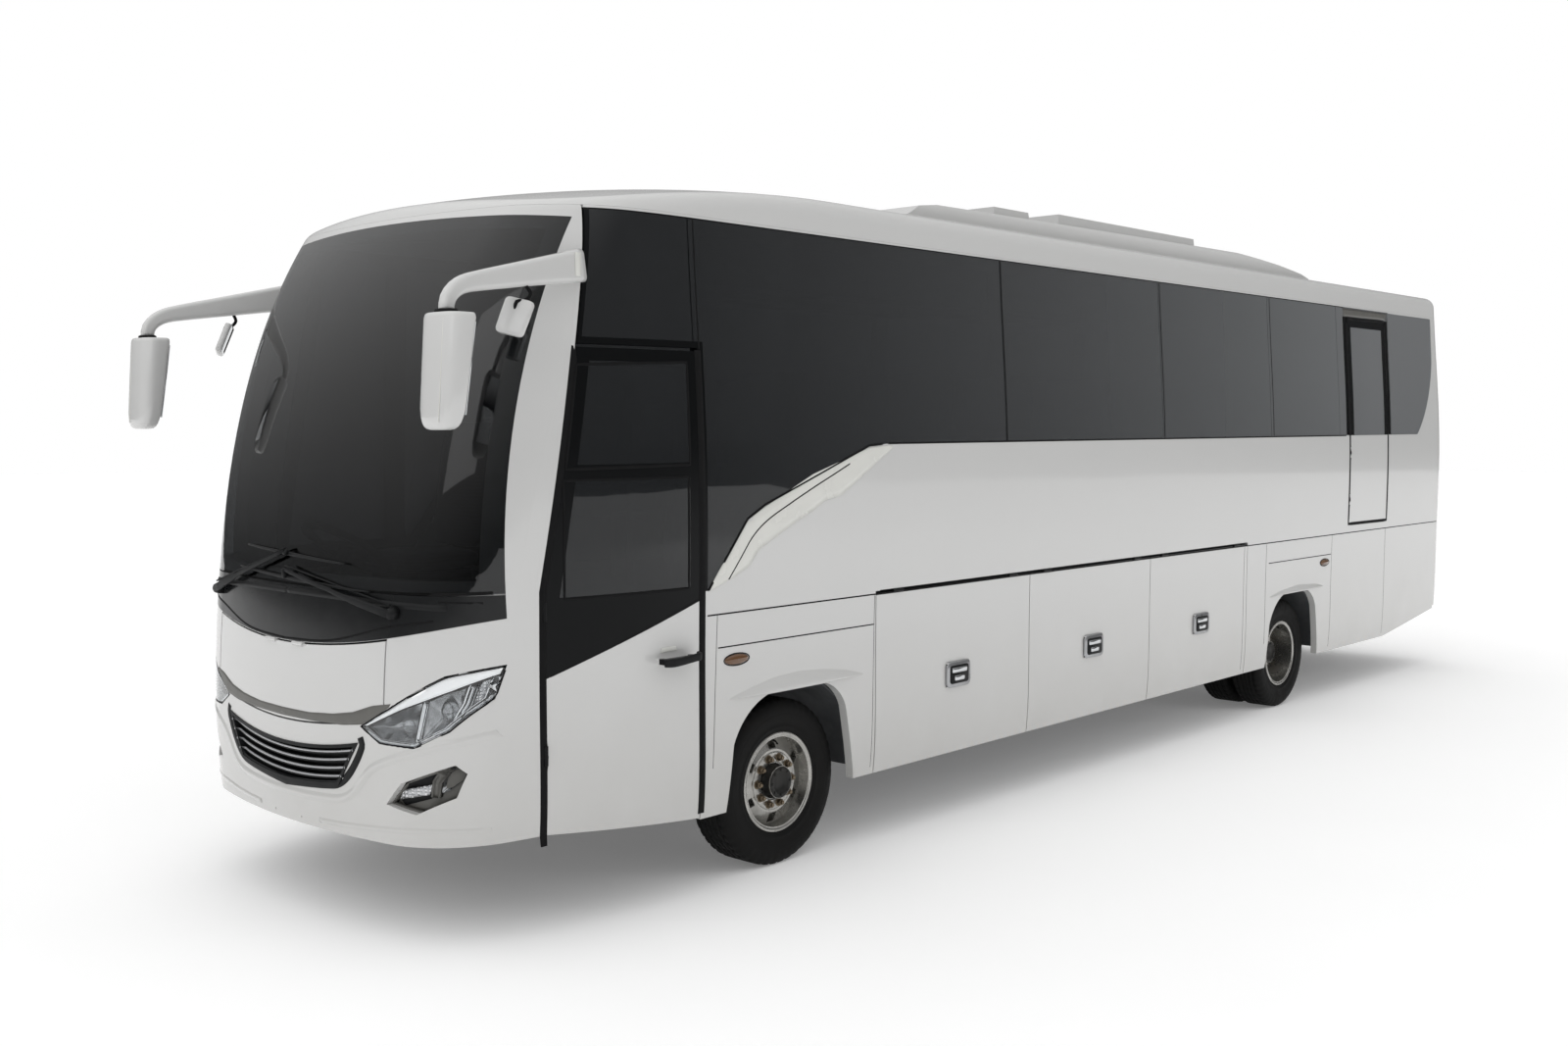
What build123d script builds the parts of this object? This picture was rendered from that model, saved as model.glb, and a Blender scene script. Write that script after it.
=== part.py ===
from build123d import *
import math
import os

# A front-engined midi coach with a high floor, luggage bays under it and one passenger door.
# Lengths are in millimetres. While it is modelled, +X is the coach's left, -Y its front and
# +Z up, and y is measured from the front axle; export_nodes moves it to its own origin,
# on the ground below the middle of its overall length.

# Overall body
WHEELBASE = 5380.0
FRONT_OVERHANG = 1920.0
REAR_OVERHANG = 2960.0
HALF_WIDTH = 1175.0
ROOF_CREST = 3205.0
ROOF_CROWN_R = 6500.0
ROOF_FRONT_R = 8000.0
ROOF_FRONT_START = 400.0
ROOF_EDGE_R = 90.0
WALL = 45.0
PANE = 6.0
FIT = 0.3
TAIL_Y = WHEELBASE + REAR_OVERHANG
NOSE_Y = -FRONT_OVERHANG

# Plan outline of the body: a nearly flat nose, rounded front corners, gently tapering sides
NOSE_R = 3600.0
CORNER_R = 470.0
TAPER_R = 3300.0
TAPER_START_Y = -570.0
TAIL_CORNER_R = 160.0

# Body sections from the skirt to above the roof, as shares of ROOF_CREST, HALF_WIDTH,
# FRONT_OVERHANG and REAR_OVERHANG
SECTION_SHARES = (
    # height, half width, nose, tail
    (0.0936, 0.979, 0.985, 0.9865),
    (0.2184, 0.9975, 1.0, 0.9985),
    (0.3869, 1.0, 0.9885, 1.0),
    (0.6147, 1.0, 0.9297, 0.9985),
    (0.7644, 0.977, 0.8568, 0.996),
    (0.9048, 0.9523, 0.7422, 0.990),
    (1.0296, 0.9294, 0.5833, 0.982),
)

# Heights of the body's main lines
SKIRT_Z = 345.0
TAIL_BOTTOM_Z = 500.0
TAIL_RISE_Y = 7100.0
BUMPER_BOTTOM_Z = 395.0
SKIRT_LINE_Z = 1240.0
BELT_Z = 1970.0
ROOF_JOINT_Z = 2955.0
FLOOR_TOP_Z = 1250.0
FLOOR_THICK = 50.0
TAIL_JOINT_Y = 8160.0
PANEL_GAP = 0.6
OVERRUN = 60.0

# Hinged panels: the barrel lies on the outer skin, in a groove of the fixed edge beside it
HINGE_R = 9.0
HINGE_SEAT = 8.5
HINGE_EDGE = 2.0
HINGE_LENGTH = 80.0
FLAP_GAP = 7.0

# Entrance door, hinged at its front edge
DOOR_FRONT_Y = -1375.0
DOOR_BEND_Z = 1400.0
DOOR_TOP_FRONT_Y = -1210.0
DOOR_REAR_Y = -605.0
DOOR_TOP_Z = 2375.0
DOOR_FRONT_BOTTOM_Z = 415.0
DOOR_REAR_BOTTOM_Z = 352.0
DOOR_HINGE_Z = (740.0, 1320.0)
DOOR_PANE_FRAME = 62.0
DOOR_LOW_PANE_Z = (1372.0, 1838.0)
DOOR_HIGH_PANE_Z = (1902.0, 2322.0)
DOOR_HANDLE_Z = 1070.0
DOOR_HANDLE_Y = -760.0
DOOR_HANDLE_LENGTH = 190.0
DOOR_HANDLE_DEPTH = 24.0

# Emergency door at the left rear, hinged at its front edge
EXIT_FRONT_Y = 6320.0
EXIT_REAR_Y = 7060.0
EXIT_BOTTOM_Z = 1300.0
EXIT_TOP_Z = 2865.0
EXIT_HINGE_Z = (1480.0, 1840.0)
EXIT_REAR_GAP = 14.0
EXIT_FRAME = 70.0

# Luggage flaps, one row on each side
FLAP_Y = (590.0, 1940.0, 3280.0, 4610.0)
FLAP_HANDLE_Z = 760.0
FLAP_HANDLE_WIDTH = 200.0
FLAP_HANDLE_HEIGHT = 130.0
FLAP_HANDLE_PROUD = 6.0
FLAP_HANDLE_DISH = 20.0
BAY_SHEET = 12.0
BAY_INNER_X = 560.0
BAY_WALL_BACK = 8.0

# Side glass
GLASS_TOP_Z = 2938.0
GLASS_GAP = 6.0
GLASS_DIVIDERS_Y = (-620.0, 1700.0, 3420.0, 4950.0, 6120.0)
GLASS_BORDER = 62.0
GLASS_REST = 0.8

# Wheel arches, as an outline in the side plane about each axle
ARCH_FRONT = -445.0
ARCH_REAR = 451.0
ARCH_TOP_Z = 842.0
ARCH_TOP_FRONT = -180.0
ARCH_TOP_REAR = 220.0
ARCH_SHOULDER_FRONT_Z = 643.0
ARCH_SHOULDER_FRONT = -402.0
ARCH_SHOULDER_REAR_Z = 714.0
ARCH_SHOULDER_REAR = 364.0
LINER_SHEET = 8.0
LINER_INNER_X = (610.0, 505.0)

# Wheels and tyres
TYRE_R = 391.5
TYRE_WIDTH = 226.0
TYRE_BELLY_R = 318.0
TYRE_TREAD_WIDTH = 176.0
BEAD_R = 222.0
RIM_WIDTH = 180.0
RIM_LIP_R = 235.0
RIM_LIP = 7.0
WHEEL_X = 970.0
TWIN_SPACING = 256.0
HUB_R = 76.0
HUB_PROUD = 112.0
HAND_HOLES = 6
HAND_HOLE_R = 23.0
HAND_HOLE_PITCH_R = 176.0

# Front axle
KINGPIN_X = 820.0
KINGPIN_R = 20.0
KNUCKLE_HALF = 75.0
BEAM_DROP = 70.0
BEAM_WIDTH = 90.0
BEAM_DEPTH = 80.0
SPINDLE_R = 48.0
STEER_ARM = 170.0
STEER_ARM_THICK = 24.0
STEER_ARM_Z = -62.0
TIE_ROD_R = 14.0
STEER_MAX = 32.0

# Chassis
RAIL_X = 400.0
RAIL_WIDTH = 70.0
RAIL_Z = (560.0, 740.0)
RAIL_FRONT_Y = -1500.0
RAIL_REAR_Y = 8040.0
CROSS_DEPTH = 90.0
CROSS_WIDTH = 90.0

# Springs, rear axle and drive line
SPRING_X = 435.0
SPRING_WIDTH = 72.0
SPRING_THICK = 48.0
SPRING_HALF = 680.0
SPRING_RISE_SHARE = 0.6
SPRING_PAD = 14.0
HANGER_HALF = 35.0
AXLE_TUBE_R = 62.0
DIFF_R = 175.0
DIFF_HALF = 150.0
SHAFT_R = 42.0
ENGINE_HALF_WIDTH = 300.0
ENGINE_Y = (-1330.0, -420.0)
ENGINE_Z = (600.0, 1090.0)
GEARBOX_HALF_WIDTH = 150.0
GEARBOX_REAR_Y = 420.0
GEARBOX_Z = (600.0, 850.0)
MOUNT_PAD = 60.0

# Floor, steps and cab
DECK_FRONT_Y = -390.0
CAB_FLOOR_Z = 1000.0
CAB_FLOOR_FRONT_Y = -1560.0
HUMP_HALF_WIDTH = 345.0
HUMP_TOP_Z = 1180.0
HUMP_SHEET = 30.0
STEP_COUNT = 3
STEP_LOW_Z = 440.0
STEP_OUTER_X = 985.0
STEP_DEPTH = 230.0
STEP_SHEET = 30.0
DASH_TOP_Z = 1385.0
DASH_BOTTOM_Z = HUMP_TOP_Z + FIT
DASH_FRONT_Y = -1690.0
DASH_REAR_Y = -1330.0
DASH_LEFT_X = 330.0
WHEEL_RIM_R = 225.0
WHEEL_RIM_TUBE = 15.0
WHEEL_TILT = 35.0
DRIVER_X = -640.0

# Seats
SEAT_PITCH = 760.0
SEAT_FIRST_Y = 20.0
SEAT_INNER_X = 230.0
SEAT_OUTER_X = 1080.0
SEAT_DEPTH = 640.0
SEAT_HEIGHT = 1110.0
LEFT_ROWS = 8
RIGHT_ROWS = 10
BENCH_Y = 7600.0
# Side profile of a seat on its plinth, as shares of its depth and height
SEAT_SHARES = (
    # along, up
    (0.16, 0.0), (0.16, 0.30), (0.0, 0.31), (0.0, 0.41), (0.66, 0.385), (0.85, 1.0),
    (1.0, 0.99), (0.88, 0.30), (0.64, 0.28), (0.64, 0.0),
)
DRIVER_SEAT_WIDTH = 500.0
DRIVER_SEAT_FRONT_Y = -1010.0

# Roof air unit
AIR_HALF_WIDTH = 720.0
AIR_SHOULDER = 130.0
AIR_FRONT_Y = 1455.0
AIR_LENGTH = 5155.0
AIR_TOP = 125.0
# Side profile of the unit, as shares of its length and of its height over the roof crest
AIR_SHARES = ((0.0, 0.0), (0.022, 0.46), (0.057, 0.64), (0.69, 0.96), (0.79, 1.0), (0.905, 0.57),
              (0.975, 0.23), (1.0, 0.0))
# Raised covers on it: start and end as shares of its length, top as a share of its height
AIR_COVER_SHARES = ((0.193, 0.274, 1.22), (0.331, 0.686, 1.42))
AIR_COVER_HALF_WIDTH = 560.0
AIR_COVER_CHAMFER = 25.0
AIR_SINK = 40.0

# Front face: windscreen, cowl band, bonnet flap
SCREEN_BOTTOM_X = 1032.0
SCREEN_TOP_X = 1012.0
SCREEN_TOP_SIDE_Z = 2902.0
SCREEN_TOP_Z = 2930.0
COWL_SPLIT_Z = 1400.0
COWL_CORNER_Z = 1305.0
COWL_BOTTOM_Z = 1166.0
SCREEN_BORDER = 55.0
BONNET_HALF_WIDTH = 660.0
BONNET_CORNER_Z = 958.0
BONNET_LOW_X = 525.0
BONNET_LOW_Z = 882.0
BONNET_BOTTOM_Z = 838.0
BONNET_SKIN = 8.0
BONNET_PAN_INSET = 35.0
BONNET_GAP = 8.0
BONNET_HINGE_X = 110.0

# Headlamps, fog lamps, grille
LAMP_SET = 1.0
LAMP_DEPTH = WALL
# Left headlamp seen from the front: across and up
HEADLAMP = ((532.0, 862.0), (690.0, 948.0), (900.0, 1085.0), (1030.0, 1122.0), (1012.0, 990.0),
            (915.0, 868.0), (805.0, 800.0), (640.0, 806.0))
FOG_LAMP = ((745.0, 655.0), (930.0, 735.0), (958.0, 700.0), (930.0, 606.0), (800.0, 535.0), (668.0, 565.0))
FOG_SET = 28.0
GRILLE_TOP_X = 520.0
GRILLE_TOP_Z = 795.0
GRILLE_TOP_DIP_Z = 742.0
GRILLE_LOW_X = 392.0
GRILLE_LOW_Z = 602.0
GRILLE_LOW_DIP_Z = 572.0
GRILLE_FRAME = 14.0
GRILLE_SLATS = 4
GRILLE_SLAT_SHARE = 0.42
GRILLE_SET = 12.0
GRILLE_DEPTH = 62.0
GRILLE_BACK = 10.0
PLATE_HOLE_X = 105.0
PLATE_HOLE_Z = 425.0
PLATE_HOLE_R = 4.0

# Rear face
BOOT_HALF_WIDTH = 780.0
BOOT_HINGE_Z = 1480.0
BOOT_BOTTOM_Z = 760.0
BOOT_HINGE_X = 520.0
REAR_GLASS_HALF_WIDTH = 930.0
REAR_GLASS_Z = (2010.0, 2870.0)
TAIL_LAMP_X = (860.0, 1010.0)
TAIL_LAMP_Z = (820.0, 1380.0)
BUMPER_HALF_WIDTH = 1060.0
BUMPER_Z = (500.0, 700.0)
BUMPER_PROUD = 25.0
BUMPER_INNER = 60.0

# Mirrors: an arm from the top of each front pillar, a head hanging ahead of it
MIRROR_ROOT = (1082.0, -1180.0, 2700.0)
MIRROR_HEAD_X = 1195.0
MIRROR_HEAD_Y = -1925.0
MIRROR_HEAD_Z = (2045.0, 2470.0)
MIRROR_HEAD_WIDTH = 215.0
MIRROR_HEAD_DEPTH = 125.0
MIRROR_HEAD_CHAMFER = 28.0
MIRROR_ARM_THICK = 55.0
MIRROR_ARM_ROOT_HEIGHT = 135.0
MIRROR_ARM_HEIGHT = 68.0
MIRROR_STEM_R = 30.0
MIRROR_STEM_TOP_Z = 2600.0
# The small second mirror under each arm: where it hangs along the arm, its housing and stalk.
KERB_MIRROR_SHARE = 0.5
KERB_MIRROR_WIDTH = 120.0
KERB_MIRROR_HEIGHT = 138.0
KERB_MIRROR_DEPTH = 34.0
KERB_MIRROR_CHAMFER = 9.0
KERB_MIRROR_TURN = 32.0
KERB_STALK_R = 8.0
KERB_STALK_LENGTH = 22.0

# Wipers, parked across the foot of the windscreen
WIPER_PIVOT_X = 700.0
WIPER_PIVOT_Z = 1325.0
WIPER_ARM = 22.0
WIPER_PIVOT_R = 26.0
WIPER_PIVOT_HEIGHT = 40.0
WIPER_BLADE_LENGTH = 760.0
WIPER_BLADE = 16.0
WIPER_ENDS = ((0.0, 1462.0), (0.0, 1535.0))
WIPER_LIFT = 12.0

# Fuel tank, silencer
TANK_Y = (6120.0, 7060.0)
TANK_X = (RAIL_X + RAIL_WIDTH / 2 + FIT, 1090.0)
TANK_Z = (420.0, 860.0)
TANK_CORNER = 60.0
SILENCER_R = 115.0
SILENCER_X = RAIL_X + RAIL_WIDTH / 2 + FIT + SILENCER_R
SILENCER_Z = RAIL_Z[0]
SILENCER_Y = (6250.0, 7050.0)
TAILPIPE_R = 38.0
TAILPIPE_END_Y = 8130.0


def mirrored(shape):
    """The same piece for the coach's right side."""
    return mirror(shape, about=Plane.YZ)


def block(x, y, z):
    """A box given by its two ends along each axis."""
    size = (x[1] - x[0], y[1] - y[0], z[1] - z[0])
    middle = ((x[0] + x[1]) / 2, (y[0] + y[1]) / 2, (z[0] + z[1]) / 2)
    return Pos(*middle) * Box(*size)


def rod(start, end, radius):
    """A round bar from one point to another."""
    along = Vector(*end) - Vector(*start)
    return Solid.make_cylinder(radius, along.length, Plane(origin=start, z_dir=along))


def prism(axis, outline, span, inset=0.0):
    """A solid across an axis. Its outline is a list of points, joined by lines, where a pair of
    points stands for an arc through the first to the second."""
    low, high = span
    place = {
        "x": lambda u, v: (low, u, v),
        "y": lambda u, v: (u, low, v),
        "z": lambda u, v: (u, v, low),
    }[axis]
    along = {"x": (1, 0, 0), "y": (0, 1, 0), "z": (0, 0, 1)}[axis]
    here = outline[0]
    edges = []
    for move in outline[1:]:
        if isinstance(move[0], tuple):
            through, end = move
            edges.append(ThreePointArc(place(*here), place(*through), place(*end)))
        else:
            end = move
            edges.append(Line(place(*here), place(*end)))
        here = end
    if here != outline[0]:
        edges.append(Line(place(*here), place(*outline[0])))
    face = Face(Wire(edges))
    if inset:
        face = offset(face, amount=-inset, kind=Kind.INTERSECTION)
    return extrude(face, amount=high - low, dir=along)


def turned(outline, centre):
    """A solid turned about the X axis line; the outline is given as distance along X and radius."""
    points = [(x, 0.0, r) for x, r in outline]
    edges = [Line(a, b) for a, b in zip(points, points[1:] + points[:1])]
    return Pos(*centre) * revolve(Face(Wire(edges)), axis=Axis.X)


def taper_x(half_width, y, inset=0.0):
    """Half width of the plan outline where the side tapers in towards the front corner."""
    radius = TAPER_R - inset
    return half_width - TAPER_R + math.sqrt(radius * radius - (y - TAPER_START_Y) ** 2)


def body_outline(height, half_width, nose, tail, inset):
    """Plan section of the body: nose arc, corner arcs, taper arcs, straight sides, tail."""
    taper_centre = Vector(half_width - TAPER_R, TAPER_START_Y)
    nose_centre = Vector(0, nose + NOSE_R)
    to_taper = TAPER_R - CORNER_R
    to_nose = NOSE_R - CORNER_R
    base = nose_centre - taper_centre
    share = (to_taper ** 2 - to_nose ** 2 + base.length ** 2) / (2 * base.length)
    rise = math.sqrt(to_taper ** 2 - share ** 2)
    unit = base.normalized()
    corner = taper_centre + unit * share + Vector(unit.Y, -unit.X) * rise
    from_taper = (corner - taper_centre).normalized()
    from_nose = (corner - nose_centre).normalized()
    side_radius = TAPER_R - inset
    corner_radius = CORNER_R - inset
    tail_radius = TAIL_CORNER_R - inset
    corner_start = nose_centre + from_nose * (NOSE_R - inset)
    corner_end = taper_centre + from_taper * side_radius
    corner_mid = corner + ((corner_start - corner).normalized()
                           + (corner_end - corner).normalized()).normalized() * corner_radius
    taper_mid = taper_centre + (Vector(1, 0) + from_taper).normalized() * side_radius
    tail_corner = Vector(half_width - TAIL_CORNER_R, tail - TAIL_CORNER_R)
    side_front = Vector(half_width - inset, TAPER_START_Y)
    side_rear = Vector(half_width - inset, tail_corner.Y)
    tail_mid = tail_corner + Vector(1, 1).normalized() * tail_radius
    tail_side = Vector(tail_corner.X, tail - inset)

    def at(point, side):
        return (side * point.X, point.Y, height)

    edges = [ThreePointArc(at(corner_start, -1), (0, nose + inset, height), at(corner_start, 1))]
    edges += [ThreePointArc(at(corner_start, 1), at(corner_mid, 1), at(corner_end, 1))]
    edges += [ThreePointArc(at(corner_end, 1), at(taper_mid, 1), at(side_front, 1))]
    edges += [Line(at(side_front, 1), at(side_rear, 1))]
    edges += [ThreePointArc(at(side_rear, 1), at(tail_mid, 1), at(tail_side, 1))]
    edges += [Line(at(tail_side, 1), at(tail_side, -1))]
    edges += [ThreePointArc(at(tail_side, -1), at(tail_mid, -1), at(side_rear, -1))]
    edges += [Line(at(side_rear, -1), at(side_front, -1))]
    edges += [ThreePointArc(at(side_front, -1), at(taper_mid, -1), at(corner_end, -1))]
    edges += [ThreePointArc(at(corner_end, -1), at(corner_mid, -1), at(corner_start, -1))]
    return Face(Wire(edges))


def skin(inset):
    """The body's side surface as a solid, offset inwards, open above the roof."""
    sections = []
    for height, width, nose, tail in SECTION_SHARES:
        sections.append(body_outline(
            height * ROOF_CREST, width * HALF_WIDTH, -nose * FRONT_OVERHANG,
            WHEELBASE + tail * REAR_OVERHANG, inset))
    return loft(sections)


def above_roof(inset):
    """What lies above the roof skin: a crowned section, straight to the tail and turned down
    over the front in a long arc."""
    crest = ROOF_CREST - inset
    reach = HALF_WIDTH + OVERRUN
    drop = reach ** 2 / (2 * ROOF_CROWN_R)
    top = crest + ROOF_EDGE_R * 5
    start = ROOF_FRONT_START
    edges = [ThreePointArc((-reach, start, crest - drop), (0, start, crest), (reach, start, crest - drop))]
    edges += [Line((reach, start, crest - drop), (reach, start, top))]
    edges += [Line((reach, start, top), (-reach, start, top))]
    edges += [Line((-reach, start, top), (-reach, start, crest - drop))]
    face = Face(Wire(edges))
    rear = extrude(face, amount=TAIL_Y + OVERRUN - start, dir=(0, 1, 0))
    pivot = Axis((0, start, ROOF_CREST - ROOF_FRONT_R), (1, 0, 0))
    front = revolve(face, axis=pivot, revolution_arc=25)
    return rear + front


def hull(inset):
    """The whole body as one solid, offset inwards, with its roof edge rounded."""
    body = skin(inset) - above_roof(inset)
    tops = [f for f in body.faces() if f.normal_at().Z > 0.7]
    seen = {}
    for edge in (e for f in tops for e in f.edges()):
        middle = edge @ 0.5
        seen.setdefault((round(middle.X), round(middle.Y), round(middle.Z)), []).append(edge)
    rim = [group[0] for group in seen.values() if len(group) == 1]
    return body.fillet(ROOF_EDGE_R - inset, rim)


FULL = hull(0.0)
INNER = hull(WALL)
SHELL = FULL - INNER
SKIN = skin(0.0)
GLASS_LAYER = SKIN - skin(PANE)
REBATE_LAYER = skin(-OVERRUN) - skin(PANE + GLASS_REST)


def door_edge_y(height):
    """The front pillar's rear edge: upright to the bend, then leaning back."""
    if height <= DOOR_BEND_Z:
        return DOOR_FRONT_Y
    lean = (DOOR_TOP_FRONT_Y - DOOR_FRONT_Y) / (DOOR_TOP_Z - DOOR_BEND_Z)
    return DOOR_FRONT_Y + (height - DOOR_BEND_Z) * lean


def nose_at(height):
    """How far forward the skin reaches at a height, on the middle line."""
    slice_ = SKIN & block((-1, 1), (NOSE_Y - OVERRUN, 0), (height - 1, height + 1))
    return slice_.bounding_box().min.Y


def barrels(axis_point, along, centres, radius, length):
    """Hinge barrels on one axis line, or the grooves for them when the radius is larger."""
    unit = Vector(*along)
    pieces = []
    for centre in centres:
        middle = Vector(*axis_point) + unit * centre
        pieces.append(rod(tuple(middle - unit * (length / 2)), tuple(middle + unit * (length / 2)), radius))
    return pieces


def hinge_pins(axis_point, along, centres):
    return barrels(axis_point, along, centres, HINGE_R, HINGE_LENGTH)


def hinge_grooves(axis_point, along, centres):
    return barrels(axis_point, along, centres, HINGE_R + FIT, HINGE_LENGTH + 2 * FIT)


def joined(pieces):
    """Pieces fused into one, in order."""
    whole = pieces[0]
    for piece in pieces[1:]:
        whole = whole + piece
    return whole


def without(shape, tools):
    for tool in tools:
        shape = shape - tool
    return shape


NODES = {}
SIDE = (HALF_WIDTH * 0.5, HALF_WIDTH + OVERRUN)


def arch_cut(axle_y, span):
    """The wheel opening of a side wall, open at the skirt."""
    low = SKIRT_Z - OVERRUN
    front_mid = ((ARCH_SHOULDER_FRONT + ARCH_TOP_FRONT) / 2 - LINER_SHEET * 3,
                 (ARCH_SHOULDER_FRONT_Z + ARCH_TOP_Z) / 2 + LINER_SHEET * 3)
    rear_mid = ((ARCH_SHOULDER_REAR + ARCH_TOP_REAR) / 2 + LINER_SHEET * 2,
                (ARCH_SHOULDER_REAR_Z + ARCH_TOP_Z) / 2 + LINER_SHEET * 2)
    points = [(ARCH_FRONT, low), (ARCH_SHOULDER_FRONT, ARCH_SHOULDER_FRONT_Z),
              (front_mid, (ARCH_TOP_FRONT, ARCH_TOP_Z)), (ARCH_TOP_REAR, ARCH_TOP_Z),
              (rear_mid, (ARCH_SHOULDER_REAR, ARCH_SHOULDER_REAR_Z)), (ARCH_REAR, low)]

    def shifted(p):
        return tuple(shifted(q) for q in p) if isinstance(p[0], tuple) else (p[0] + axle_y, p[1])
    return prism("x", [shifted(p) for p in points], span)


# The dark glass band drops behind the door in a swoop: share of its length, share of its drop
SWOOP_START_Y = -565.0
SWOOP_LENGTH = 1257.0
SWOOP_LOW_Z = 1343.0
SWOOP_SHARES = ((0.0, 0.0), (0.196, 0.477), (0.286, 0.574), (0.874, 0.982), (1.0, 1.0))
BAND_TAIL_Y = 8076.0
BAND_TAIL_LOW_Y = 7700.0
BAND_TAIL_MID = (7998.0, 2338.0)
BAND_MARGIN = 18.0
HEADER_GAP = 42.0
CAB_GLASS_Z = 1400.0


def band_outline(with_door):
    """The side glass band seen from the side, from its lowest corner behind the door."""
    drop = BELT_Z - SWOOP_LOW_Z
    points = [(SWOOP_START_Y + along * SWOOP_LENGTH, SWOOP_LOW_Z + up * drop) for along, up in SWOOP_SHARES]
    points += [(BAND_TAIL_LOW_Y, BELT_Z)]
    points += [(BAND_TAIL_MID, (BAND_TAIL_Y, GLASS_TOP_Z))]
    points += [(door_edge_y(GLASS_TOP_Z) + BAND_MARGIN, GLASS_TOP_Z)]
    low = DOOR_TOP_Z + HEADER_GAP if with_door else CAB_GLASS_Z
    points += [(door_edge_y(low) + BAND_MARGIN, low)]
    points += [(SWOOP_START_Y, low)]
    return points


def band_panes(with_door):
    """Front and rear end of each pane along the side, and whether it is a window."""
    ends = [door_edge_y(CAB_GLASS_Z)] + list(GLASS_DIVIDERS_Y)
    panes = [(front, rear, True) for front, rear in zip(ends, ends[1:])]
    if with_door:
        panes[0] = (panes[0][0], panes[0][1], False)
        panes.append((ends[-1], EXIT_FRONT_Y - HINGE_EDGE - EXIT_FRAME, False))
        panes.append((EXIT_REAR_Y + EXIT_FRAME, BAND_TAIL_Y, True))
    else:
        panes.append((ends[-1], EXIT_REAR_Y + EXIT_FRAME, True))
        panes.append((EXIT_REAR_Y + EXIT_FRAME, BAND_TAIL_Y, True))
    return panes


def flap_axis():
    return (HALF_WIDTH, 0.0, SKIRT_LINE_Z)


def flap_hinges(front, rear):
    inset = FLAP_HANDLE_HEIGHT + HINGE_LENGTH / 2
    return (front + inset, rear - inset)


def side_wall(with_door):
    """A side wall with its window openings, glass rebate, wheel arches and hatch openings."""
    top = ROOF_JOINT_Z - PANEL_GAP
    tail_z = SKIRT_Z + (TAIL_BOTTOM_Z - SKIRT_Z) * (TAIL_JOINT_Y - TAIL_RISE_Y) / (TAIL_Y - TAIL_RISE_Y)
    edge = PANEL_GAP if not with_door else HINGE_SEAT
    points = [(DOOR_REAR_Y + FLAP_GAP, SKIRT_Z), (TAIL_RISE_Y, SKIRT_Z), (TAIL_JOINT_Y, tail_z),
              (TAIL_JOINT_Y, top), (door_edge_y(top), top)]
    if with_door:
        lintel = DOOR_TOP_Z + FLAP_GAP * 2
        points += [(door_edge_y(lintel), lintel), (DOOR_REAR_Y + FLAP_GAP, lintel)]
    else:
        points += [(DOOR_FRONT_Y, DOOR_BEND_Z), (DOOR_FRONT_Y, DOOR_FRONT_BOTTOM_Z)]
    wall = SHELL & prism("x", points, SIDE)
    wall = wall - arch_cut(0.0, SIDE) - arch_cut(WHEELBASE, SIDE)
    band = band_outline(with_door)
    wall = wall - (REBATE_LAYER & prism("x", band, SIDE, inset=-GLASS_REST))
    for front, rear, window in band_panes(with_door):
        if window:
            slab = block(SIDE, (front + GLASS_BORDER, rear - GLASS_BORDER), (SKIRT_Z, ROOF_JOINT_Z))
            wall = wall - (prism("x", band, SIDE, inset=GLASS_BORDER) & slab)
    row = (FLAP_Y[0] - FLAP_GAP / 2, FLAP_Y[-1] + FLAP_GAP / 2)
    wall = wall - block(SIDE, row, (SKIRT_Z - OVERRUN, SKIRT_LINE_Z + HINGE_SEAT))
    for front, rear in zip(FLAP_Y, FLAP_Y[1:]):
        wall = without(wall, hinge_grooves(flap_axis(), (0, 1, 0), flap_hinges(front, rear)))
    if with_door:
        door_hole = (EXIT_FRONT_Y - HINGE_SEAT, EXIT_REAR_Y + EXIT_REAR_GAP)
        height = (EXIT_BOTTOM_Z - FLAP_GAP, EXIT_TOP_Z + FLAP_GAP)
        wall = wall - block(SIDE, door_hole, height)
        wall = without(wall, hinge_grooves((HALF_WIDTH, EXIT_FRONT_Y, 0), (0, 0, 1), EXIT_HINGE_Z))
    return wall


def side_glass(with_door):
    """The panes of one side, flush with the skin, each a loose fit in the rebate."""
    band = GLASS_LAYER & prism("x", band_outline(with_door), SIDE)
    panes = []
    for front, rear, window in band_panes(with_door):
        slab = block(SIDE, (front + GLASS_GAP / 2, rear - GLASS_GAP / 2), (SKIRT_Z, ROOF_JOINT_Z))
        panes.append(band & slab)
    return panes


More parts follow.
